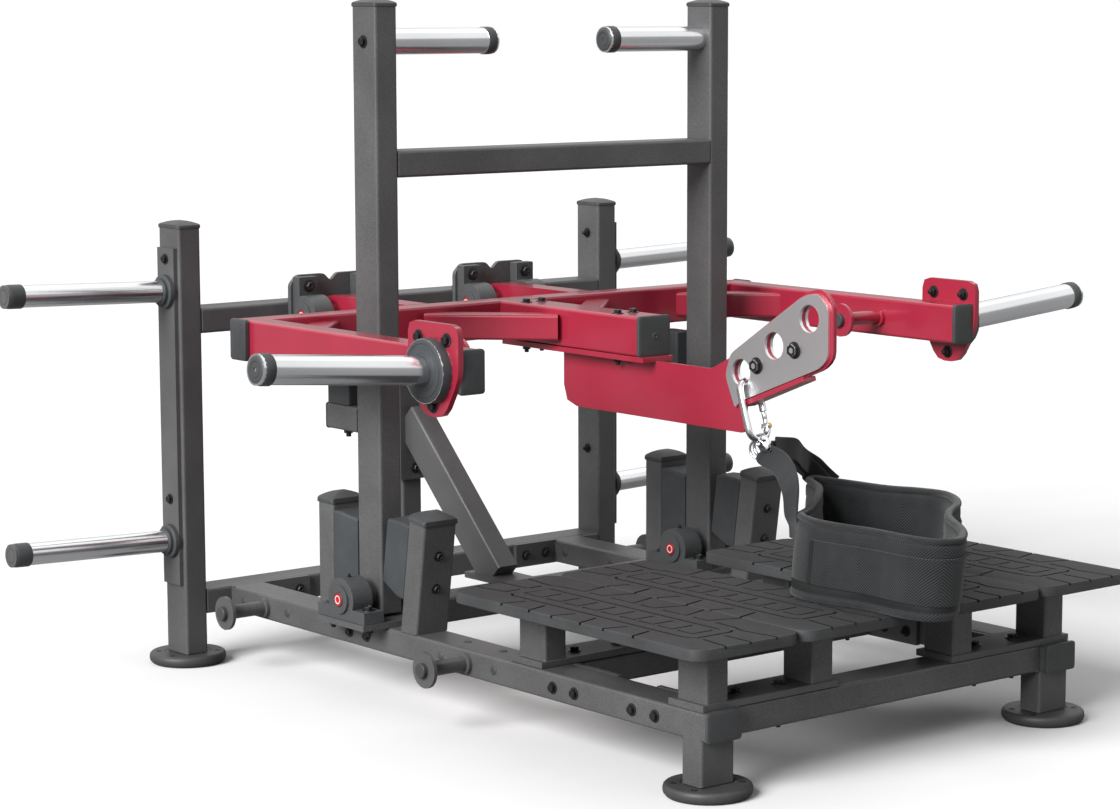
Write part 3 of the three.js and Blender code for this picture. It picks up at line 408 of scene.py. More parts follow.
CAP_CORNER = 0.006
CAP_EDGE = 0.0015
CAP_LEAST_CORNER = 0.0008


def domed_cap(bm, place, half_u, half_v, skirt, dome_u, dome_v):
    """A cap over a rectangle: a skirt, a rounded rim and a crown that rises over u and v."""
    def ring(inset, height, shrink=1.0):
        made = []
        for u, v in outline(half_u - inset, half_v - inset, max(CAP_CORNER - inset, CAP_LEAST_CORNER)):
            u, v = u * shrink, v * shrink
            rise = dome_u * (1 - (u / half_u) ** 2) + dome_v * (1 - (v / half_v) ** 2)
            made.append(bm.verts.new(place @ Vector((u, v, height + (rise if height >= skirt else 0)))))
        return made
    rim = skirt + CAP_EDGE * 0.3
    sides = ((CAP_EDGE * 0.5, 0), (0, CAP_EDGE * 0.5), (0, skirt - CAP_EDGE), (CAP_EDGE * 0.3, skirt))
    rings = [ring(inset, height) for inset, height in sides]
    rings += [ring(CAP_EDGE, rim, shrink) for shrink in (1.0, 0.85, 0.65, 0.42, 0.2)]
    top = bm.verts.new(place @ Vector((0, 0, rim + dome_u + dome_v)))
    base = bm.verts.new(place.translation)
    bridge(bm, [[base], *rings, [top]])


def capped(name, body, place, half_u, half_v, skirt, dome_u, dome_v):
    """A domed cap as a piece of its own."""
    bm = bmesh.new()
    domed_cap(bm, place, half_u, half_v, skirt, dome_u, dome_v)
    piece(name, bm, body, "cap_plastic")


def hex_bolt(bm, place, radius, stud):
    """A washer and a hexagon head with its centre mark, or a nut with the stud's end."""
    lathe(bm, disc_profile(radius * 1.45, radius * 0.24, radius * 0.06, -PROUD), place, 28)
    low, high = radius * 0.2, radius * 0.95
    lathe(bm, [(radius * 0.97, low), (radius, low + radius * 0.08), (radius, high - radius * 0.14),
               (radius * 0.88, high), (radius * 0.5, high), (radius * 0.46, high - radius * 0.08)], place, 6)
    if stud:
        root, end = high - radius * 0.1, high + radius * 0.75
        tip = [(radius * 0.55, root), (radius * 0.55, end - radius * 0.1), (radius * 0.45, end)]
        lathe(bm, tip, place, 16)


def bolts(name, body, spots, radius, stud=False):
    """A piece of bolt heads or nuts, each at a point of a face and along its normal."""
    bm = bmesh.new()
    for origin, normal in spots:
        hex_bolt(bm, facing(origin, normal), radius, stud)
    piece(name, bm, body, "fastener", smooth_angle=25)


def bolted(name, body, heads, nuts, radius, ending=""):
    """Bolt heads as one piece and the nuts behind them as another."""
    bolts(f"{name}_bolts{ending}", body, heads, radius)
    bolts(f"{name}_nuts{ending}", body, nuts, radius, stud=True)


def smooth_path(points, steps, closed=False):
    """A centripetal curve through points, as the frame's own soft pieces follow."""
    before, after = [points[0] * 2 - points[1]], [points[-1] * 2 - points[-2]]
    if closed:
        before, after = points[-1:], points[:2]
    corners = before + points + after
    made = []
    for i in range(len(corners) - 3):
        quad = corners[i:i + 4]
        knots = [0.0]
        for a, b in zip(quad, quad[1:]):
            knots.append(knots[-1] + max((b - a).length, 1e-9) ** 0.5)
        for s in range(steps):
            made.append(catmull(quad, knots, knots[1] + (knots[2] - knots[1]) * s / steps))
    if not closed:
        made.append(points[-1].copy())
    return made


def catmull(level, knots, t):
    """The point at a knot value between the middle two of four points."""
    for width in (1, 2):
        level = [level[i].lerp(level[i + 1], (t - knots[i]) / (knots[i + width] - knots[i]))
                 for i in range(len(level) - 1)]
    return level[0].lerp(level[1], (t - knots[1]) / (knots[2] - knots[1]))


def wire(bm, path, radius, sides=12, closed=False, side=None, wide=None):
    """A wire along a path, round or oval, its rings turned without twist."""
    rings = []
    count = len(path)
    wide = wide or radius
    for i, here in enumerate(path):
        after = path[(i + 1) % count] if closed or i + 1 < count else here
        before = path[i - 1] if closed or i > 0 else here
        along = (after - before).normalized()
        if side is None:
            side = along.orthogonal().normalized()
        side = (side - along * side.dot(along)).normalized()
        up = along.cross(side)
        rings.append([bm.verts.new(here + side * wide * math.cos(a) + up * radius * math.sin(a))
                      for a in (2 * math.pi * k / sides for k in range(sides))])
    if not closed:
        first, last = bm.verts.new(path[0]), bm.verts.new(path[-1])
        rings = [[first], *rings, [last]]
    bridge(bm, rings, closed=closed)


def band(bm, rings, runs, rounds, edging=(), closed=False):
    """Cloth along rings of vertices, with UVs in metres from each ring's run and the heights round it."""
    layer = bm.loops.layers.uv.new("UVMap")
    count = len(rings[0])
    for i in range(len(rings) if closed else len(rings) - 1):
        k = (i + 1) % len(rings)
        for j in range(count):
            m = (j + 1) % count
            face = bm.faces.new((rings[i][j], rings[k][j], rings[k][m], rings[i][m]))
            face.material_index = int(j in edging)
            places = ((runs[i], rounds[i][j]), (runs[i + 1], rounds[k][j]),
                      (runs[i + 1], rounds[k][j + 1]), (runs[i], rounds[i][j + 1]))
            for loop, place in zip(face.loops, places):
                loop[layer].uv = place
    if not closed:
        bm.faces.new(rings[0])
        bm.faces.new(rings[-1])


# Shading of the frame's own pieces

def modify(made, name, kind, **settings):
    """Adds a modifier with its settings."""
    modifier = made.modifiers.new(name, kind)
    for setting, value in settings.items():
        setattr(modifier, setting, value)


def shading_group(angle):
    """Smooth faces with sharp edges past an angle."""
    group = bpy.data.node_groups.new("shade_by_angle", "GeometryNodeTree")
    for way in ("INPUT", "OUTPUT"):
        group.interface.new_socket("Geometry", in_out=way, socket_type="NodeSocketGeometry")
    nodes, link = group.nodes, group.links.new
    start, end = nodes.new("NodeGroupInput"), nodes.new("NodeGroupOutput")
    faces, edges = nodes.new("GeometryNodeSetShadeSmooth"), nodes.new("GeometryNodeSetShadeSmooth")
    edges.domain = "EDGE"
    edges.inputs["Shade Smooth"].default_value = False
    turn = nodes.new("GeometryNodeInputMeshEdgeAngle")
    sharp = nodes.new("FunctionNodeCompare")
    sharp.operation = "GREATER_THAN"
    sharp.inputs["B"].default_value = angle
    link(start.outputs[0], faces.inputs["Geometry"])
    link(faces.outputs[0], edges.inputs["Geometry"])
    link(turn.outputs["Unsigned Angle"], sharp.inputs["A"])
    link(sharp.outputs["Result"], edges.inputs["Selection"])
    link(edges.outputs[0], end.inputs[0])
    return group


SHADING = shading_group(math.radians(50))
BEVELS = {"frame_paint": 0.0014, "arm_paint": 0.0014, "bearing_paint": 0.0025, "rubber": 0.002,
          "chrome": 0.0008, "wear_steel": 0.0006}


def dress(node, slot):
    """Gives a frame piece its finish, small rounded edges and clean shading."""
    node.data.materials.clear()
    node.data.materials.append(MATERIALS[slot])
    modify(node, "weld", "WELD", merge_threshold=0.00001)
    modify(node, "flat", "DECIMATE", decimate_type="DISSOLVE", angle_limit=math.radians(0.4))
    modify(node, "edges", "BEVEL", width=BEVELS[slot], segments=2, limit_method="ANGLE",
           angle_limit=math.radians(32))
    modify(node, "shade", "NODES", node_group=SHADING)
    modify(node, "normals", "WEIGHTED_NORMAL", keep_sharp=True)


def dress_frame():
    """Dresses every frame piece whose slot has a bevel."""
    for row in frame["record"]["subparts"]:
        if row["material_slot"] in BEVELS:
            dress(frame["nodes"][row["node"]], row["material_slot"])


# Floor frame

CROSS_BOLT_Z = 0.123
CROSS_BOLTS_Y = (0.092, 0.152, 0.307, 0.366, 0.929, 0.985)
REAR_BOLTS_X = (0.293, 0.348)
SIDE_PLUGS_Y = (1.355, 1.199, 0.695, 0.536)
TOP_PLUGS_Y = (0.668, 0.562)
STAND_BOLTS_X = (0.241, 0.340)
STAND_BOLTS_Y = (0.0135, 0.4415)
RAIL_PEGS_Y = (1.278, 0.618)
BUMPER_BOLTS_UP = (0.090, 0.153)
FOOT_SCREW_TURNS = (25, 145, 205, 325)
POST_CAP_SUNK = 0.002
BUMPER_LEAN = math.radians(8.2)
BUMPER_HIGH = 0.212
BEARING_RISE = 0.0385
BEARING_FOOT = 0.023
BEARING_BESIDE = 0.0695
BEARING_BOLT = 0.058
NIPPLE_RISE = 0.0398
PEG_CAP = ((0.0138, -0.0095), (0.0138, -0.001), (0.0125, 0.0006))


def foot_pads():
    """Round rubber feet, each with four screws round its post."""
    low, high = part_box("front_foot_pad_right")
    radius, height = (high.x - low.x) / 2, high.z
    dip = height - 0.0012
    pad = [(radius * 0.9, 0), (radius * 0.94, 0.002), (radius * 0.985, 0.006), (radius, 0.010),
           (radius, 0.014), (radius * 0.985, 0.0185), (radius * 0.95, height - PROUD), (radius * 0.9, height),
           (radius * 0.62, height), (radius * 0.6, dip)]
    screw = [(0.0062, -0.001), (0.0062, 0.0004), (0.0054, 0.001), (0.003, 0.001), (0.0026, 0.0003)]
    reach = radius * 0.76
    for end, x, y in (("front", RAIL_X, FRONT_Y), ("rear", POST_X, POST_Y)):
        for side, label in BOTH:
            place = Matrix.Translation((side * x, y, 0))
            foot = turned(f"{end}_foot_{label}", "base", "rubber", pad, [place], 72, ("foot_rubber",))
            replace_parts(foot, f"{end}_foot_pad_{label}")
            places = []
            for turn in FOOT_SCREW_TURNS:
                a = math.radians(turn)
                shift = Matrix.Translation((reach * math.cos(a), reach * math.sin(a), height))
                places.append(place @ shift)
            turned(f"{end}_foot_screws_{label}", "base", "fastener", screw, places, 20)


def post_caps():
    """Domed caps on the rear posts and the handle frame's uprights."""
    for side, label in BOTH:
        for name, body, x, y, top in (("rear_post", "base", POST_X, POST_Y, POST_TOP),
                                      ("upright", "handle_frame", UPRIGHT_X, PIVOT_Y, UPRIGHT_TOP)):
            place = Matrix.Translation((side * x, y, top - POST_CAP_SUNK))
            capped(f"{name}_cap_{label}", body, place, HALF_THIN + 0.0014, HALF_WIDE + 0.0014,
                   0.0055, 0.0015, 0.0078)


def bumper_caps():
    """Domed caps on the upright and the leaning bumper posts."""
    for side, label in BOTH:
        for name, y, lean in (("rear", REAR_BUMPER, 0.0), ("front", FRONT_BUMPER, BUMPER_LEAN)):
            foot = Matrix.Translation(at(side * RAIL_X, y, RAIL_TOP + GAP)) @ Matrix.Rotation(lean, 4, "X")
            place = foot @ Matrix.Translation((0, 0, BUMPER_HIGH))
            capped(f"{name}_bumper_cap_{label}", "base", place, HALF_WIDE + 0.0022, HALF_THIN + 0.0022,
                   0.0065, 0.0125, 0.0020)


def bumper_bolts():
    """Bolts that hold the rubber bumpers, square to their posts."""
    normal = Vector((0, -math.cos(BUMPER_LEAN), -math.sin(BUMPER_LEAN)))
    slope = Vector((0, -math.sin(BUMPER_LEAN), math.cos(BUMPER_LEAN)))
    front, rear = [], []
    for side in SIDES:
        foot = at(side * RAIL_X, FRONT_BUMPER, RAIL_TOP) + normal * HALF_THIN
        for up in BUMPER_BOLTS_UP:
            front.append((foot + slope * up, normal))
            rear.append((at(side * RAIL_X, REAR_BUMPER + HALF_THIN, RAIL_TOP + up), Y))
    bolts("front_bumper_bolts", "base", front, radius=0.0068)
    bolts("rear_bumper_bolts", "base", rear, radius=0.0068)


def rail_bolts():
    """Bolts and nuts where tubes meet the rails and the rear tube, and plugs in the holes that stay empty."""
    heads, nuts, plugs = [], [], []
    for side in SIDES:
        out = X * side
        for y in CROSS_BOLTS_Y:
            heads.append((at(side * RAIL_SIDE, y, CROSS_BOLT_Z), out))
            nuts.append((at(side * (RAIL_INSIDE - END_PLATE), y, CROSS_BOLT_Z), -out))
        for x in REAR_BOLTS_X:
            heads.append((at(side * x, REAR_FRONT - END_PLATE, RAIL_MIDDLE), -Y))
            nuts.append((at(side * x, REAR_BACK, RAIL_MIDDLE), Y))
        for y in SIDE_PLUGS_Y:
            plugs.append((at(side * RAIL_SIDE, y, RAIL_MIDDLE), out))
            plugs.append((at(side * RAIL_INSIDE, y, RAIL_MIDDLE), -out))
        for y in TOP_PLUGS_Y:
            plugs.append((at(side * (RAIL_X - 0.004), y, RAIL_TOP), Z))
    bolted("rail", "base", heads, nuts, radius=0.0078)
    plug = [(0.0082, -0.001), (0.0082, 0.0006), (0.006, 0.002), (0, 0.0026)]
    turned("rail_plugs", "base", "cap_plastic", plug, [facing(*spot) for spot in plugs], 24)


def stand_bolts():
    """Bolts through the base plates of the platform stands."""
    spots = [(side * x, y) for side in SIDES for y in STAND_BOLTS_Y for x in STAND_BOLTS_X]
    bolts("stand_bolts", "base", [(at(x, y, RAIL_TOP + STAND_PLATE), Z) for x, y in spots], radius=0.0085)
    bolts("stand_nuts", "base", [(at(x, y, RAIL_UNDER), -Z) for x, y in spots], radius=0.0075, stud=True)


def bearing_bolts():
    """Bolts through the feet of the pillow blocks, with their nuts behind."""
    heads, nuts = [], []
    for side in SIDES:
        for beside in (-BEARING_BESIDE, BEARING_BESIDE):
            for along in (-BEARING_BOLT, BEARING_BOLT):
                x = side * UPRIGHT_X + beside
                heads.append((Vector((x, PIVOT_Y + along, PIVOT_Z - BEARING_RISE + BEARING_FOOT)), Z))
                nuts.append((Vector((x, PIVOT_Y + along, RAIL_TOP + GAP)), -Z))
                x = side * ARM_BEARING_X + beside
                heads.append((Vector((x, ARM_PIVOT_Y + BEARING_RISE - BEARING_FOOT, ARM_Z + along)), -Y))
                nuts.append((Vector((x, ARM_PIVOT_Y + BEARING_RISE + END_PLATE, ARM_Z + along)), Y))
    bolted("bearing", "base", heads, nuts, radius=0.0088)


def bearing_caps():
    """Red caps with a plain pale ring on the closed ends of the pillow blocks, and their grease nipples."""
    rim = [(0.0142, -0.0012), (0.0142, 0.0004), (0.0132, 0.0016), (0.0124, 0.0016), (0.012, 0.0008)]
    pale = ((0.0062, 0.0014), (0.0082, 0.0014), (0.0082, 0.0024), (0.0062, 0.0024))
    nipple = [(0.004, 0), (0.004, 0.003), (0.0022, 0.0036), (0.0026, 0.0062), (0.0012, 0.0078)]
    for kind, y, z, up in (("handle", PIVOT_Y, PIVOT_Z, Z), ("arm", ARM_PIVOT_Y, ARM_Z, -Y)):
        for place, out in (("outer", 1), ("inner", -1)):
            for side, label in BOTH:
                low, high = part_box(f"{kind}_bearing_{place}_{label}")
                way = side * out
                spot = facing(Vector((high.x if way > 0 else low.x, y, z)), X * way)
                bm = bmesh.new()
                lathe(bm, rim, spot, 40)
                lathe(bm, disc_profile(0.0116, 0.0012, 0.0003, 0.0006), spot, 40, 1)
                bridge(bm, [circle(bm, spot, radius, height, 40) for radius, height in pale], 2, closed=True)
                piece(f"{kind}_bearing_cap_{place}_{label}", bm, "base", "cap_plastic",
                      ("cap_plastic", "red_cap", "pale_ring"))
                crest = Vector(((low.x + high.x) / 2, y, z)) + up * NIPPLE_RISE
                name = f"{kind}_grease_nipple_{place}_{label}"
                turned(name, "base", "fastener", nipple, [facing(crest, up)], 12)


def rail_noses():
    """Caps on the front ends of the rails."""
    for side, label in BOTH:
        place = facing(at(side * RAIL_X, RAIL_NOSE, RAIL_MIDDLE), -Y)
        capped(f"rail_cap_{label}", "base", place, HALF_WIDE + 0.0012, HALF_THIN + 0.0012,
               0.0058, 0.0012, 0.0008)


def rail_peg_caps():
    """Black ends on the storage pegs of the rails."""
    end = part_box("rail_right")[1].x
    for side, label in BOTH:
        places = [facing(at(side * end, y, RAIL_MIDDLE), X * side) for y in RAIL_PEGS_Y]
        turned(f"rail_peg_caps_{label}", "base", "cap_plastic", PEG_CAP, places, 32)


# Rear frame and racks

RACK_X = 0.5643
RACK_TILT = math.radians(1.8)
RACK_HORN = 0.319
RACK_HORNS_Z = (0.249, 0.746)
RACK_BOLTS_Z = (0.810, 0.333)
BRACE_BOLTS_Z = (0.345, 0.530)
BRACE_FOOT_Y = 1.152


def rack_dress():
    """Chrome sleeves, rubber collars, end caps and bolts of the storage racks."""
    collar = [(0.0336, -PROUD), (0.0336, 0.004), (0.0325, 0.0085), (0.030, 0.0102),
              (0.0262, 0.0106), (0.0258, 0.0165), (0.0246, 0.0178)]
    cap = [(0.0222, 0), (0.0232, 0.0012), (0.0232, 0.026), (0.0224, 0.0315), (0.0195, 0.0352),
           (0.015, 0.0362), (0.0125, 0.0362), (0.0118, 0.0354), (0.0035, 0.0354), (0.0032, 0.0342)]
    for side, label in BOTH:
        along = Vector((side, 0, math.tan(RACK_TILT))).normalized()
        roots = [Vector((side * RACK_X, POST_Y, z)) for z in RACK_HORNS_Z]
        for kind, slot, profile, shift, way in (
            ("sleeves", "chrome", rod(0.0214, 0.003, RACK_HORN), 0, along),
            ("collars", "rubber", collar, 0, X * side),
            ("caps", "cap_plastic", cap, RACK_HORN, along),
        ):
            places = [facing(root + along * shift, way) for root in roots]
            turned(f"rack_{kind}_{label}", "base", slot, profile, places, 56)
        heads = [(at(side * RACK_X, REAR_POST, z), X * side) for z in RACK_BOLTS_Z]
        nuts = [(at(side * (POST_X - HALF_THIN), REAR_POST, z), -X * side) for z in RACK_BOLTS_Z]
        bolted("rack", "base", heads, nuts, radius=0.0075, ending=f"_{label}")


def brace_bolts():
    """Bolts of the diagonal brace, at the centre post and on the pivot cross tube."""
    heads = [(at(0, REAR_FRONT - BRACE_PLATE, z), -Y) for z in BRACE_BOLTS_Z]
    heads.append((at(0, BRACE_FOOT_Y, RAIL_TOP + BRACE_PLATE), Z))
    bolted("brace", "base", heads, [(at(0, REAR_BACK, z), Y) for z in BRACE_BOLTS_Z], radius=0.0078)


# Handle frame

HANDLE_CAP_BACK = 0.023
SUPPORT_PAD_Y = 1.0355
SUPPORT_END_Y = 1.0703
SUPPORT_UNDER = 0.504
SUPPORT_Z = 0.5285


def end_cap(radius):
    """The profile of a rounded end cap with a ring line and a screw at its centre."""
    return [(radius - 0.0008, -0.0005), (radius, 0.0006), (radius, 0.0150), (radius - 0.0010, 0.0200),
            (radius - 0.0042, 0.0240), (radius - 0.0090, 0.0254), (0.0142, 0.0254), (0.0136, 0.0244),
            (0.0130, 0.0254), (0.0040, 0.0254), (0.0036, 0.0240)]


def handle_dress():
    """Chrome sleeves, end caps and bolts of the two handles."""
    for side, label in BOTH:
        low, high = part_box(f"handle_{label}")
        centre = (low + high) / 2
        outer, tip = (high.x, low.x) if side > 0 else (low.x, high.x)
        inward = X * -side
        root = facing(Vector((outer, centre.y, centre.z)), inward)
        end = facing(Vector((tip, centre.y, centre.z)) - inward * HANDLE_CAP_BACK, inward)
        turned(f"handle_sleeve_{label}", "handle_frame", "chrome", rod(0.0244, 0.0002, 0.2235), [root], 64)
        turned(f"handle_cap_{label}", "handle_frame", "cap_plastic", end_cap(0.0262), [end], 64)
        spot = Vector((side * (UPRIGHT_X + HALF_THIN), PIVOT_Y, centre.z))
        bolts(f"handle_bolt_{label}", "handle_frame", [(spot, X * side)], radius=0.0085)


def support_dress():
    """Stub caps and the nuts that hold the rubber pads."""
    for side, label in BOTH:
        x = side * UPRIGHT_X
        spot = (at(x, SUPPORT_PAD_Y, SUPPORT_UNDER), -Z)
        bolts(f"support_nuts_{label}", "handle_frame", [spot], radius=0.009, stud=True)
        place = facing(at(x, SUPPORT_END_Y, SUPPORT_Z), Y)
        capped(f"support_stub_cap_{label}", "handle_frame", place, HALF_THIN + 0.0008, HALF_THIN + GAP,
               0.004, 0.0006, 0.0006)


# Lever arm

LATERAL_END = 0.6262
LATERAL_Y = 1.070
SIDE_BEAM_X = 0.600
SIDE_BEAM_NOSE = 0.3998
CENTRE_NOSE = 0.6268
CENTRE_UNDER = 0.6392
BEAM_BOLTS_X = (-0.019, 0.019)
BEAM_BOLTS_Y = (0.985, 0.705)
ARM_PEG_TIP = 0.459
FLANGE_OUT = 0.635
FLANGE_IN = 0.624
FLANGE_HOLES = ((0.418, 0.742), (0.498, 0.742), (HORN_Y, 0.6255))
HORN_ROOT = 0.6353
HORN_TILT = math.radians(4.7)
HORN_DISC = 0.0566
HORN_LENGTH = 0.3342
HOOK_PLATE_FRONT, HOOK_PLATE_REAR = 0.140, 0.409
HOOK_PLATE_LOW, HOOK_PLATE_HIGH = 0.575, 0.801
HOOK_BOLT_SHARES = ((0.316, 0.535), (0.684, 0.372))


def arm_caps():
    """Caps on the ends of the lateral beam, the side beams and the central beam."""
    wide, thin = HALF_WIDE + 0.0012, HALF_THIN + 0.0012
    for side, label in BOTH:
        end = facing(at(side * LATERAL_END, LATERAL_Y, ARM_Z), X * side)
        end = end @ Matrix.Rotation(math.pi / 2, 4, "Z")
        capped(f"lateral_cap_{label}", "lever_arm", end, thin, wide, 0.0068, 0.0006, 0.0055)
        nose = facing(at(side * SIDE_BEAM_X, SIDE_BEAM_NOSE, ARM_Z), -Y)
        capped(f"side_beam_cap_{label}", "lever_arm", nose, thin, wide, 0.0072, 0.0006, 0.002)
    nose = facing(at(0, CENTRE_NOSE, ARM_Z), -Y)
    bm = bmesh.new()
    domed_cap(bm, nose, wide, wide, 0.0072, 0.0008, 0.0008)
    lathe(bm, [(0.007, 0.007), (0.007, 0.0094), (0.006, 0.0102), (0.0035, 0.0102), (0.003, 0.0090)], nose, 24)
    piece("central_beam_cap", bm, "lever_arm", "cap_plastic")


def arm_bolts():
    """Bolts of the central beam and of the weight flanges, and the ends of the arm's pegs."""
    spots = [(x, y) for y in BEAM_BOLTS_Y for x in BEAM_BOLTS_X]
    heads = [(at(x, y, ARM_Z + HALF_WIDE), Z) for x, y in spots]
    bolted("beam", "lever_arm", heads, [(at(x, y, CENTRE_UNDER), -Z) for x, y in spots], radius=0.0078)
    for side, label in BOTH:
        heads = [(at(side * FLANGE_OUT, y, z), X * side) for y, z in FLANGE_HOLES]
        nuts = [(at(side * FLANGE_IN, y, z), -X * side) for y, z in FLANGE_HOLES]
        bolted("flange", "lever_arm", heads, nuts, radius=0.0085, ending=f"_{label}")
        peg = facing(at(side * ARM_PEG_TIP, 0.603, ARM_Z), X * -side)
        turned(f"arm_peg_cap_{label}", "lever_arm", "cap_plastic", PEG_CAP, [peg], 32)


def horn_dress():
    """Rubber discs, chrome sleeves and black caps on the weight horns."""
    disc = [(HORN_DISC - 0.002, 0), (HORN_DISC, 0.002), (HORN_DISC, 0.0165), (HORN_DISC - 0.0012, 0.0195),
            (HORN_DISC - 0.004, 0.0210), (0.0480, 0.0214), (0.0474, 0.0206), (0.0462, 0.0206),
            (0.0456, 0.0216), (0.0345, 0.0220), (0.0335, 0.0230), (0.0315, 0.0230), (0.0305, 0.0222)]
    for side, label in BOTH:
        along = Vector((side, 0, math.tan(HORN_TILT))).normalized()
        root = at(side * HORN_ROOT, HORN_Y, ARM_Z)
        end = facing(root + along * HORN_LENGTH, along)
        turned(f"horn_disc_{label}", "lever_arm", "rubber", disc, [facing(root, X * side)], 72)
        sleeve = rod(0.0254, 0.012, HORN_LENGTH + PROUD)
        turned(f"horn_sleeve_{label}", "lever_arm", "chrome", sleeve, [facing(root, along)], 72)
        turned(f"horn_cap_{label}", "lever_arm", "cap_plastic", end_cap(0.0272), [end], 72)


def hook_bolts():
    """Black heads over the two bolts through the wear plates."""
    bm = bmesh.new()
    for u, v in HOOK_BOLT_SHARES:
        y = HOOK_PLATE_FRONT + u * (HOOK_PLATE_REAR - HOOK_PLATE_FRONT)
        z = HOOK_PLATE_LOW + v * (HOOK_PLATE_HIGH - HOOK_PLATE_LOW)
        for side in SIDES:
            place = facing(at(side * END_PLATE, y, z), X * side)
            lathe(bm, disc_profile(0.0155, 0.002, 0.0004, -0.0004), place, 32)
            lathe(bm, [(0.0126, 0.001), (0.0126, 0.0078), (0.0112, 0.0096), (0.006, 0.0096),
                       (0.0055, 0.0088)], place, 6)
    piece("hook_bolts", bm, "lever_arm", "fastener", smooth_angle=25)


# Carabiner

HOOK_HOLE = at(0, 0.36596, 0.643026)
HOOK_TILT = math.radians(19)
HOOK_DOWN = Vector((0, -math.sin(HOOK_TILT), -math.cos(HOOK_TILT)))
HOOK_NORMAL = Vector((0, math.cos(HOOK_TILT), -math.sin(HOOK_TILT)))
CARABINER_DROP = 0.015404
CARABINER_HALF = 0.0225
CARABINER_LENGTH = 0.112
CARABINER_ROD = 0.0055
CARABINER_ROD_WIDE = 0.0075
CARABINER_TURNS = 14
GATE_TOP = CARABINER_DROP + 0.060
GATE_BOTTOM = CARABINER_DROP + 0.089


def hung(u, v):
    """A point in the carabiner's plane: u across and v down from the hook hole."""
    return HOOK_HOLE + X * u + HOOK_DOWN * v


def carabiner():
    """A link of oval rod that is open at the gate, with two cheeks and a pin at the gate's hinge."""
    points = [hung(CARABINER_HALF, GATE_TOP)]
    top = CARABINER_DROP + CARABINER_HALF
    bottom = CARABINER_DROP + CARABINER_LENGTH - CARABINER_HALF
    for level, way in ((top, 1), (bottom, -1)):
        for i in range(CARABINER_TURNS + 1):
            angle = math.pi * i / CARABINER_TURNS
            u, v = way * CARABINER_HALF * math.cos(angle), way * CARABINER_HALF * math.sin(angle)
            points.append(hung(u, level - v))
    points.append(hung(CARABINER_HALF, GATE_BOTTOM))
    bm = bmesh.new()
    wire(bm, smooth_path(points, 3), CARABINER_ROD, 24, side=HOOK_NORMAL, wide=CARABINER_ROD_WIDE)
    hinge = hung(CARABINER_HALF, GATE_BOTTOM - 0.001)
    for way in SIDES:
        normal = HOOK_NORMAL * way
        lathe(bm, disc_profile(0.0066, 0.0014, 0.0003), facing(hinge + normal * 0.0068, normal), 24)
    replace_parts(piece("carabiner_body", bm, "carabiner", "chrome"), "carabiner")
    pin = [(0.0042, 0), (0.0042, 0.0012), (0.0034, 0.002), (0, 0.0022)]
    places = [facing(hinge + HOOK_NORMAL * way * 0.0080, HOOK_NORMAL * way) for way in SIDES]
    turned("carabiner_pin", "carabiner", "brass", pin, places, 20)


def carabiner_gate():
    """The gate, a rod with a groove above its pivot."""
    low = GATE_BOTTOM - 0.0050
    length = low - GATE_TOP - PROUD
    profile = [(0, -0.0044), (0.003, -0.0036), (0.0044, -0.001), (0.0044, 0.006), (0.0041, 0.0068),
               (0.0041, 0.009), (0.0044, 0.0098), (0.0044, length - 0.003), (0.0036, length - 0.0004)]
    place = facing(hung(CARABINER_HALF, low), -HOOK_DOWN)
    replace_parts(turned("gate_body", "gate", "chrome", profile, [place], 28), "carabiner_gate")


# Belt

BELT_MIDDLE = at(0.087, 0.0985, 0)
BELT_HALF_X = 0.190
BELT_HALF_Y = 0.320
BELT_HIGH = 0.146
BELT_HALF = 0.007
BELT_LOW = DECK_TOP + GAP
BELT_SHARES = (
    (-0.863, 0.105), (-0.99, -0.073), (-1, -0.245), (-0.953, -0.495), (-0.963, -0.808), (-0.9, -0.958),
    (-0.732, -0.998), (-0.49, -0.908), (-0.268, -0.764), (-0.095, -0.614), (0.095, -0.458), (0.342, -0.327),
    (0.589, -0.23), (0.832, -0.086), (1, 0.098), (0.963, 0.264), (0.837, 0.442), (0.784, 0.723),
    (0.747, 0.898), (0.732, 1), (0.62, 0.98), (0.374, 0.745), (0.047, 0.536), (-0.347, 0.323),
    (-0.668, 0.177),
)
BELT_STEPS = 12
BELT_FRONT_SHIFT = Vector((0.006, 0.026, 0))
BELT_LEFT_SHIFT = Vector((-0.012, 0.009, 0))
ROLL_LOW = 0.0145
BAND_TOP = 0.0320
SEAM_HIGH = BELT_HIGH - 0.036
ROLL_HIGH = BELT_HIGH - 0.0120
RIPPLE_LOW = 0.024
WRAP_START = 0.045
WRAP_END = 0.56
WRAP_STEPS = 14
WRAP_STAND = BELT_HALF * 0.98
WRAP_THICK = 0.0026
STITCH_PITCH = 0.0046
STITCH_LENGTH = 0.0030
STITCH_RADIUS = 0.00055


def belt_line():
    """The belt's middle line in plan, the way out from it and the run along it."""
    corners = [BELT_MIDDLE + Vector((u * BELT_HALF_X, v * BELT_HALF_Y, 0)) for u, v in BELT_SHARES]
    line = smooth_path(corners, BELT_STEPS, closed=True)
    made = []
    run = 0.0
    for i, here in enumerate(line):
        after = line[(i + 1) % len(line)]
        along = (after - line[i - 1]).normalized()
        made.append((here, Vector((along.y, -along.x, 0)), run))
        run += (after - here).length
    return made, run


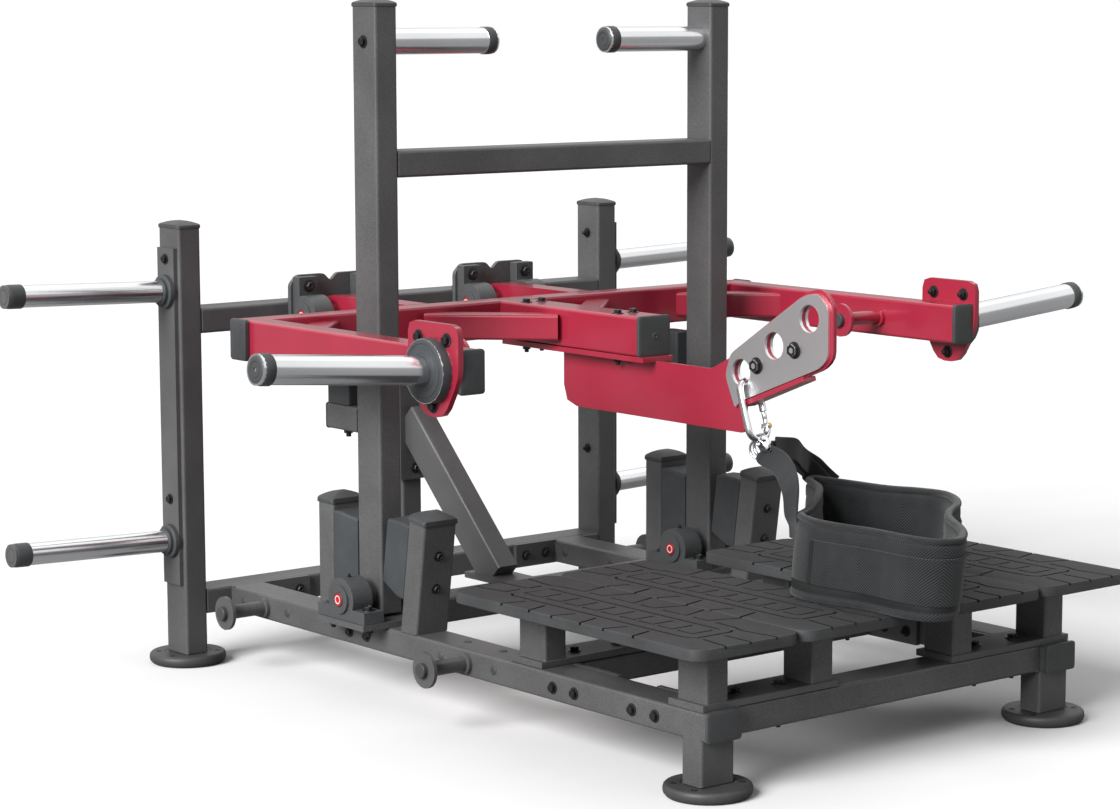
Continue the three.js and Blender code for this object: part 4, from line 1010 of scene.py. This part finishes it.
def belt_section():
    """(height, way out, distance out) round the belt's cut face, rolls included."""
    spans = ((0, ROLL_LOW, 0.5, 0.62, 7), (ROLL_LOW, BAND_TOP, 0.78, 0.1, 4),
             (BAND_TOP, SEAM_HIGH, 0.82, 0.2, 12), (SEAM_HIGH, ROLL_HIGH, 0.82, 0.2, 6),
             (ROLL_HIGH, BELT_HIGH, 0.45, 0.62, 7))
    outer = []
    for low, high, least, more, steps in spans:
        for i in range(steps):
            share = i / steps
            swell = math.sin(math.pi * share) ** 0.6
            outer.append((low + (high - low) * share, 1, BELT_HALF * (least + more * swell)))
    outer.append((BELT_HIGH, 1, BELT_HALF * 0.3))
    return outer + [(h, -1, reach) for h, way, reach in reversed(outer[1:-1])]


def ripple(run, h):
    """Slight unevenness of the padding, from a few long waves."""
    return (math.sin(run * 31 + h * 40) + 0.7 * math.sin(run * 67 + 1.3 - h * 25)) * 0.00045


def belt_place(here, out, h, distance, run):
    """Where a point of the belt lies: the lower edge is inward at the front and outward at the left."""
    share = h / BELT_HIGH
    u = (here.x - BELT_MIDDLE.x) / BELT_HALF_X
    v = (here.y - BELT_MIDDLE.y) / BELT_HALF_Y
    front = min(1.0, max(0.0, 0.1 - v))
    left = min(1.0, max(0.0, (v + 0.45) * 2)) * min(1.0, max(0.0, -u))
    shift = BELT_FRONT_SHIFT * front + BELT_LEFT_SHIFT * left
    wave = 0.002 * math.sin(run * 9 + 0.6) * share
    place = here + out * (distance + wave) + shift * (1 - share)
    place.z = BELT_LOW + h
    return place


def belt(line, total):
    """The padded belt, a closed band whose lower outer strip has a plain edging."""
    section = belt_section()
    bm = bmesh.new()
    rings = []
    for here, out, run in line:
        ring = []
        for h, way, distance in section:
            shift = ripple(run, h) if RIPPLE_LOW < h <= ROLL_HIGH else 0.0
            ring.append(bm.verts.new(belt_place(here, out, h, way * (distance + shift), run)))
        rings.append(ring)
    around = [0.0]
    for a, b in zip(rings[0], rings[0][1:] + rings[0][:1]):
        around.append(around[-1] + (b.co - a.co).length)
    low, high = ROLL_LOW - 0.0001, BAND_TOP - 0.0001
    edging = {j for j, (h, way, distance) in enumerate(section) if way > 0 and low <= h < high}
    runs = [run for here, out, run in line] + [total]
    band(bm, rings, runs, [around] * len(rings), edging, closed=True)
    made = piece("padded_belt", bm, "belt", "belt_fabric", ("belt_fabric", "belt_band"), 60)
    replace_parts(made, "belt")


def belt_layer(line, name, start, end, low, high, stand, thick, drop=0.0, finish="belt_fabric"):
    """A flat layer on the belt's outer face, between two shares of its run, whose lower edge may drop."""
    chosen = [entry for i, entry in enumerate(line) if start <= i / len(line) <= end]
    bm = bmesh.new()
    rings, rounds = [], []
    for i, (here, out, run) in enumerate(chosen):
        foot = low - drop * i / (len(chosen) - 1)
        levels = [foot + (high - foot) * k / WRAP_STEPS for k in range(WRAP_STEPS + 1)]
        section = [(h, stand + thick * (1.0 if 0 < k < WRAP_STEPS else 0.6)) for k, h in enumerate(levels)]
        section += [(h, stand - 0.0008) for h in reversed(levels)]
        rings.append([bm.verts.new(belt_place(here, out, h, d + ripple(run, h), run)) for h, d in section])
        rounds.append([h for h, d in section + section[:1]])
    band(bm, rings, [run for here, out, run in chosen], rounds)
    piece(name, bm, "belt", "belt_fabric", (finish,), 40)


def stitches(line, total, name, start, end, h, stand):
    """A row of thread stitches that follows the belt at a height."""
    bm = bmesh.new()
    cursor = start * total
    index = 0
    while cursor < end * total - STITCH_LENGTH:
        ends = []
        for run in (cursor, cursor + STITCH_LENGTH):
            while index + 1 < len(line) and line[index + 1][2] < run:
                index += 1
            here, out, low = line[index]
            after = line[(index + 1) % len(line)]
            high = after[2] if index + 1 < len(line) else total
            share = (run - low) / (high - low)
            here, out = here.lerp(after[0], share), out.lerp(after[1], share).normalized()
            ends.append(belt_place(here, out, h, stand, run))
        wire(bm, [ends[0], (ends[0] + ends[1]) / 2, ends[1]], STITCH_RADIUS, 6)
        cursor += STITCH_PITCH
    piece(name, bm, "belt", "webbing")


def belt_and_panel():
    """The belt with the panel sewn round its front, and its rows of stitches."""
    line, total = belt_line()
    belt(line, total)
    belt_layer(line, "belt_wrap", WRAP_START, WRAP_END, BAND_TOP, SEAM_HIGH, WRAP_STAND, WRAP_THICK,
               drop=0.016)
    belt_layer(line, "belt_wrap_end", WRAP_START, WRAP_START + 0.011, BAND_TOP + 0.001, SEAM_HIGH - 0.001,
               WRAP_STAND + WRAP_THICK, 0.0007, finish="belt_band")
    stitches(line, total, "rim_stitches", 0.0, 0.98, SEAM_HIGH + 0.003, BELT_HALF * 0.9)
    stitches(line, total, "wrap_stitches", WRAP_START + 0.02, WRAP_END - 0.01, SEAM_HIGH - 0.004,
             WRAP_STAND + WRAP_THICK)


# Rings and straps

RING_RADIUS = 0.020
RING_WIRE = 0.003
RING_TURNS = 40
RING_PLACES = ((0.0, 0.0, RING_RADIUS, RING_WIRE), (0.0095, 0.22, 0.017, 0.0022),
               (-0.0095, -0.25, 0.017, 0.0022))
RING_DROP = CARABINER_DROP + CARABINER_LENGTH - CARABINER_ROD - 0.0008 - RING_WIRE + RING_RADIUS
STRAP_HALF = 0.021
STRAP_EDGE = 0.0035
STRAP_THICK = 0.0036
STRAP_STEPS = 10
STRAP_LEFT_SHARES = ((-0.574, 0.473, 1.466), (-0.7, 0.327, 1.356), (-0.82, 0.22, 1.212), (-0.9, 0.165, 0.95),
                     (-0.885, 0.152, 0.8), (-0.88, 0.15, 0.66))
STRAP_LEFT_TURNS = ((0.5, -0.35, 0.8), (0.4, -0.55, 0.7), (0.1, -0.8, 0.5), (-0.2, -0.92, 0.2),
                    (-0.35, -0.93, 0), (-0.35, -0.93, 0))
STRAP_RIGHT_SHARES = ((-0.15, 0.76, 1.47), (0.2, 0.86, 1.383), (0.5, 0.985, 1.206), (0.74, 1.06, 1.06),
                      (0.86, 0.958, 0.82), (0.85, 0.86, 0.78))
STRAP_RETURN = Vector((0.012, 0.002, 0.006))


def strap(name, stations):
    """Webbing through stations of (place, way across), with rolled edges."""
    centres = smooth_path([place for place, turn in stations], STRAP_STEPS)
    turns = [Vector(turn) for place, turn in stations]
    acrosses = [a.lerp(b, s / STRAP_STEPS) for a, b in zip(turns, turns[1:]) for s in range(STRAP_STEPS)]
    acrosses.append(turns[-1])
    top = [(-STRAP_HALF, 0.35), (-STRAP_HALF + 0.0006, 0.9), (-STRAP_HALF + 0.0016, 1.12),
           (-STRAP_HALF + STRAP_EDGE, 1.12), (-STRAP_HALF + STRAP_EDGE + 0.001, 1)]
    section = top + [(-u, w) for u, w in reversed(top)]
    section += [(u, -w) for u, w in reversed(section)]
    bm = bmesh.new()
    rings, runs, run = [], [], 0.0
    for i, (here, across) in enumerate(zip(centres, acrosses)):
        before, after = centres[max(i - 1, 0)], centres[min(i + 1, len(centres) - 1)]
        along = (after - before).normalized()
        across = (across - along * across.dot(along)).normalized()
        out = along.cross(across)
        rings.append([bm.verts.new(here + across * u + out * w * STRAP_THICK / 2) for u, w in section])
        runs.append(run)
        run += (after - here).length
    band(bm, rings, runs, [[u for u, w in section + section[:1]]] * len(rings))
    return piece(name, bm, "belt", "webbing", smooth_angle=50)


def belt_share(u, v, w):
    """A point in shares of the belt's half sizes in plan and of its height."""
    return BELT_MIDDLE + Vector((u * BELT_HALF_X, v * BELT_HALF_Y, DECK_TOP + w * BELT_HIGH))


def ring_knot(angle, across):
    """A point on the hanging ring, by its angle below the level."""
    a = math.radians(angle)
    return hung(0, RING_DROP) + Vector((across, -RING_RADIUS * math.cos(a), -RING_RADIUS * math.sin(a)))


def belt_rings():
    """Three wire rings in the carabiner, each by its shift, turn, radius and wire."""
    bm = bmesh.new()
    for shift, yaw, radius, thick in RING_PLACES:
        drop = Vector((shift, -0.002 * abs(yaw), -(RING_RADIUS - radius) * 0.2 - abs(shift) * 0.55))
        path = []
        for i in range(RING_TURNS):
            a = 2 * math.pi * i / RING_TURNS
            reach = math.cos(a) * radius
            turn = Vector((reach * math.sin(yaw), reach * math.cos(yaw), math.sin(a) * radius))
            path.append(hung(0, RING_DROP) + turn + drop)
        wire(bm, path, thick, closed=True)
    piece("belt_rings", bm, "belt", "chrome")


def straps():
    """One strap to the belt's left end, and two layers side by side to its right end."""
    left = [(ring_knot(12, -0.004), (0.5, -0.2, 0.8)), (ring_knot(30, -0.008), (0.5, -0.2, 0.8))]
    left += [(belt_share(*share), turn) for share, turn in zip(STRAP_LEFT_SHARES, STRAP_LEFT_TURNS)]
    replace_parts(strap("left_strap", left), "belt_straps")
    right = [(ring_knot(30, 0.006), (0.2, 0, 0.95))]
    right += [(belt_share(*share), Z) for share in STRAP_RIGHT_SHARES]
    strap("right_strap", right)
    strap("right_strap_return", [(place + STRAP_RETURN, turn) for place, turn in right[:-1]])


# Treads

TREAD_DEPTH = 0.0045
TREAD_CORNER = 0.030
# The third finish, groove, is the painted shade of the grooves' walls and floors.
TREAD_FINISHES = ("tread_rubber", "tread_side", "groove")
GROOVE_HALF = 0.0027
TREAD_RUNGS = 9
RUNG_PITCH = 0.050
SLANT_PITCH = 0.138


def groove(bm, points, top):
    """A cutter along a line of points, mitred at its bends; its faces carry the groove finish, a painted
    shade, into the cut.
    """
    edges = {side: [] for side in SIDES}
    for i, (x, y) in enumerate(points):
        before = Vector(points[max(i - 1, 0)])
        after = Vector(points[min(i + 1, len(points) - 1)])
        along = (after - before).normalized() * GROOVE_HALF
        for side in SIDES:
            edges[side].append((x - along.y * side, y + along.x * side))
    ring = edges[1] + edges[-1][::-1]
    low = [bm.verts.new((x, y, top - TREAD_DEPTH)) for x, y in ring]
    high = [bm.verts.new((x, y, top + 0.002)) for x, y in ring]
    # Index 2 is the groove finish, painted shade that the cut leaves on the groove walls and floor.
    bridge(bm, [low, high], 2)
    for cover in (low, high):
        bm.faces.new(cover).material_index = 2


def tread_grooves(low):
    """One board's grooves as lines of points: a long loop, a ladder in it and slanted cuts to the edges."""
    loop = ((0.0675, 0.569), (0.0575, 0.554), (0.0575, 0.106), (0.061, 0.091), (0.071, 0.079),
            (0.1435, 0.079), (0.156, 0.0865))
    ladder = ((0.086, 0.517), (0.086, 0.558), (0.1445, 0.558), (0.1445, 0.1065))
    head = (((0.058, 0.663), (0.0675, 0.594), (0.0675, 0.588), (0.101, 0.589)),
            ((0.1135, 0.663), (0.1175, 0.5915), (0.1225, 0.588), (0.151, 0.589)),
            ((0.1725, 0.663), (0.1645, 0.5815), (0.1735, 0.5615), (0.175, 0.499), (0.231, 0.5115),
             (0.238, 0.5135)))
    foot = (((0.071, 0.0645), (0.0625, -0.003)), ((0.1175, 0.0645), (0.1175, -0.003)),
            ((0.176, 0.1515), (0.1745, 0.1065), (0.166, 0.0765), (0.176, -0.003)))
    made = [loop, ladder, *head, *foot]
    for i in range(TREAD_RUNGS):
        level = 0.509 - RUNG_PITCH * i
        made.append(((0.086, level + (0.036 if i else 0.030)), (0.086, level), (0.1315, level)))
    for i in range(3):
        down = SLANT_PITCH * i
        made.append(((-0.003, 0.513 - down), (0.042, 0.498 - down)))
        made.append(((-0.003, 0.434 - down), (0.046, 0.447 - down)))
        made.append(((0.176, 0.485 - down), (0.176, 0.449 - down), (0.239, 0.427 - down)))
        if i < 2:
            made.append(((0.176, 0.426 - down), (0.176, 0.366 - down), (0.239, 0.384 - down)))
    return [[(low.x + x, low.y + y) for x, y in points] for points in made]


def tread_board(name):
    """A rubber board with rounded edges, its grooves cut in, their walls and floors in painted shade."""
    low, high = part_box(name)
    centre = (low + high) / 2
    half = (high - low) / 2
    bm = bmesh.new()
    rings = []
    for inset, z in ((0.001, low.z), (0, low.z + 0.001), (0, high.z - 0.002), (0.0006, high.z - 0.0006),
                     (0.002, high.z)):
        ring = outline(half.x - inset, half.y - inset, TREAD_CORNER - inset, 8)
        rings.append([bm.verts.new((centre.x + u, centre.y + v, z)) for u, v in ring])
    bridge(bm, rings, 1)
    bm.faces.new(rings[0]).material_index = 1
    bm.faces.new(rings[-1])
    made = piece(f"{name}_cover", bm, "base", "tread_rubber", TREAD_FINISHES, 30)
    cutters = bmesh.new()
    for points in tread_grooves(low):
        groove(cutters, points, high.z)
    bmesh.ops.recalc_face_normals(cutters, faces=cutters.faces)
    tool = put("grooves", mesh_of("grooves", cutters, TREAD_FINISHES))
    modify(made, "grooves", "BOOLEAN", operation="DIFFERENCE", solver="EXACT", use_self=True, object=tool)
    bpy.context.view_layer.objects.active = made
    bpy.ops.object.modifier_apply(modifier="grooves")
    bpy.data.objects.remove(tool)
    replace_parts(made, name)


# The whole machine

def machine():
    dress_frame()
    foot_pads()
    post_caps()
    bumper_caps()
    bumper_bolts()
    rail_bolts()
    stand_bolts()
    bearing_bolts()
    bearing_caps()
    rail_noses()
    rail_peg_caps()
    rack_dress()
    brace_bolts()
    handle_dress()
    support_dress()
    arm_caps()
    arm_bolts()
    horn_dress()
    hook_bolts()
    carabiner()
    carabiner_gate()
    belt_and_panel()
    belt_rings()
    straps()
    for side, label in BOTH:
        for place in ("inner", "outer"):
            tread_board(f"{place}_tread_board_{label}")


# Camera, light and floor

AMBIENT = 0.33
LAMPS = (("key", 4.8, 34, (-0.84, -0.17, 0.46)), ("top", 0.3, 60, (0.3, 0.2, 1.0)))
GLOSS_LEVELS = {"From Min": 0.24, "From Max": 0.34, "To Min": 0.42, "To Max": 1.15}
FLOOR_HALF = 40
FLOOR_Z = -0.0002


def camera():
    """The photo's viewpoint, fitted to the frame tubes."""
    data = bpy.data.cameras.new("camera")
    data.lens = 95.83
    data.sensor_width = 36
    data.shift_x = -0.0576
    data.shift_y = 0.0136
    data.clip_end = 100
    made = put("camera", data)
    made.location = at(-3.6252, -3.6161, 1.3030)
    made.rotation_euler = (math.radians(82.089), 0, math.radians(-39.979))
    bpy.context.scene.camera = made


def lights():
    """Wide soft suns, each with its strength, angle and the way towards it."""
    for name, strength, angle, toward in LAMPS:
        data = bpy.data.lights.new(name, "SUN")
        data.energy = strength
        data.angle = math.radians(angle)
        put(name, data).rotation_euler = Vector(toward).to_track_quat("Z", "Y").to_euler()


def surroundings():
    """An even soft light, a bright ceiling over a dim horizon for gloss, and white where it is seen."""
    world = bpy.data.worlds.new("studio")
    world.use_nodes = True
    bpy.context.scene.world = world
    nodes, link = world.node_tree.nodes, world.node_tree.links.new
    nodes["Background"].inputs["Color"].default_value = (1, 1, 1, 1)
    split = nodes.new("ShaderNodeSeparateXYZ")
    link(nodes.new("ShaderNodeTexCoord").outputs["Generated"], split.inputs["Vector"])
    levels = nodes.new("ShaderNodeMapRange")
    for socket, value in GLOSS_LEVELS.items():
        levels.inputs[socket].default_value = value
    link(split.outputs["Z"], levels.inputs["Value"])
    rays = nodes.new("ShaderNodeLightPath")
    gloss = nodes.new("ShaderNodeMix")
    gloss.inputs[2].default_value = AMBIENT
    link(rays.outputs["Is Glossy Ray"], gloss.inputs[0])
    link(levels.outputs["Result"], gloss.inputs[3])
    seen = nodes.new("ShaderNodeMix")
    seen.inputs[3].default_value = 1.0
    link(rays.outputs["Is Camera Ray"], seen.inputs[0])
    link(gloss.outputs[0], seen.inputs[2])
    link(seen.outputs[0], nodes["Background"].inputs["Strength"])


def floor():
    """A plain floor that is nearly white where the camera sees it and darker where it lights the machine."""
    bm = bmesh.new()
    corners = ((-1, -1), (1, -1), (1, 1), (-1, 1))
    bm.faces.new([bm.verts.new((x * FLOOR_HALF, y * FLOOR_HALF, FLOOR_Z)) for x, y in corners])
    mesh = mesh_of("floor", bm)
    finish = Finish("floor", roughness=0.9, Specular_IOR_Level=0.1)
    seen = finish.tint(finish.noise(3), grey(248), grey(251))
    lit = finish.tint(finish.noise(3), grey(150), grey(156))
    rays = finish.add("ShaderNodeLightPath")
    finish.base(finish.blend(rays.outputs["Is Camera Ray"], lit, seen))
    mesh.materials.append(finish.material)
    put("floor", mesh)


camera()
lights()
surroundings()
floor()
machine()
bpy.context.scene.view_settings.view_transform = "Standard"

bpy.context.view_layer.update()
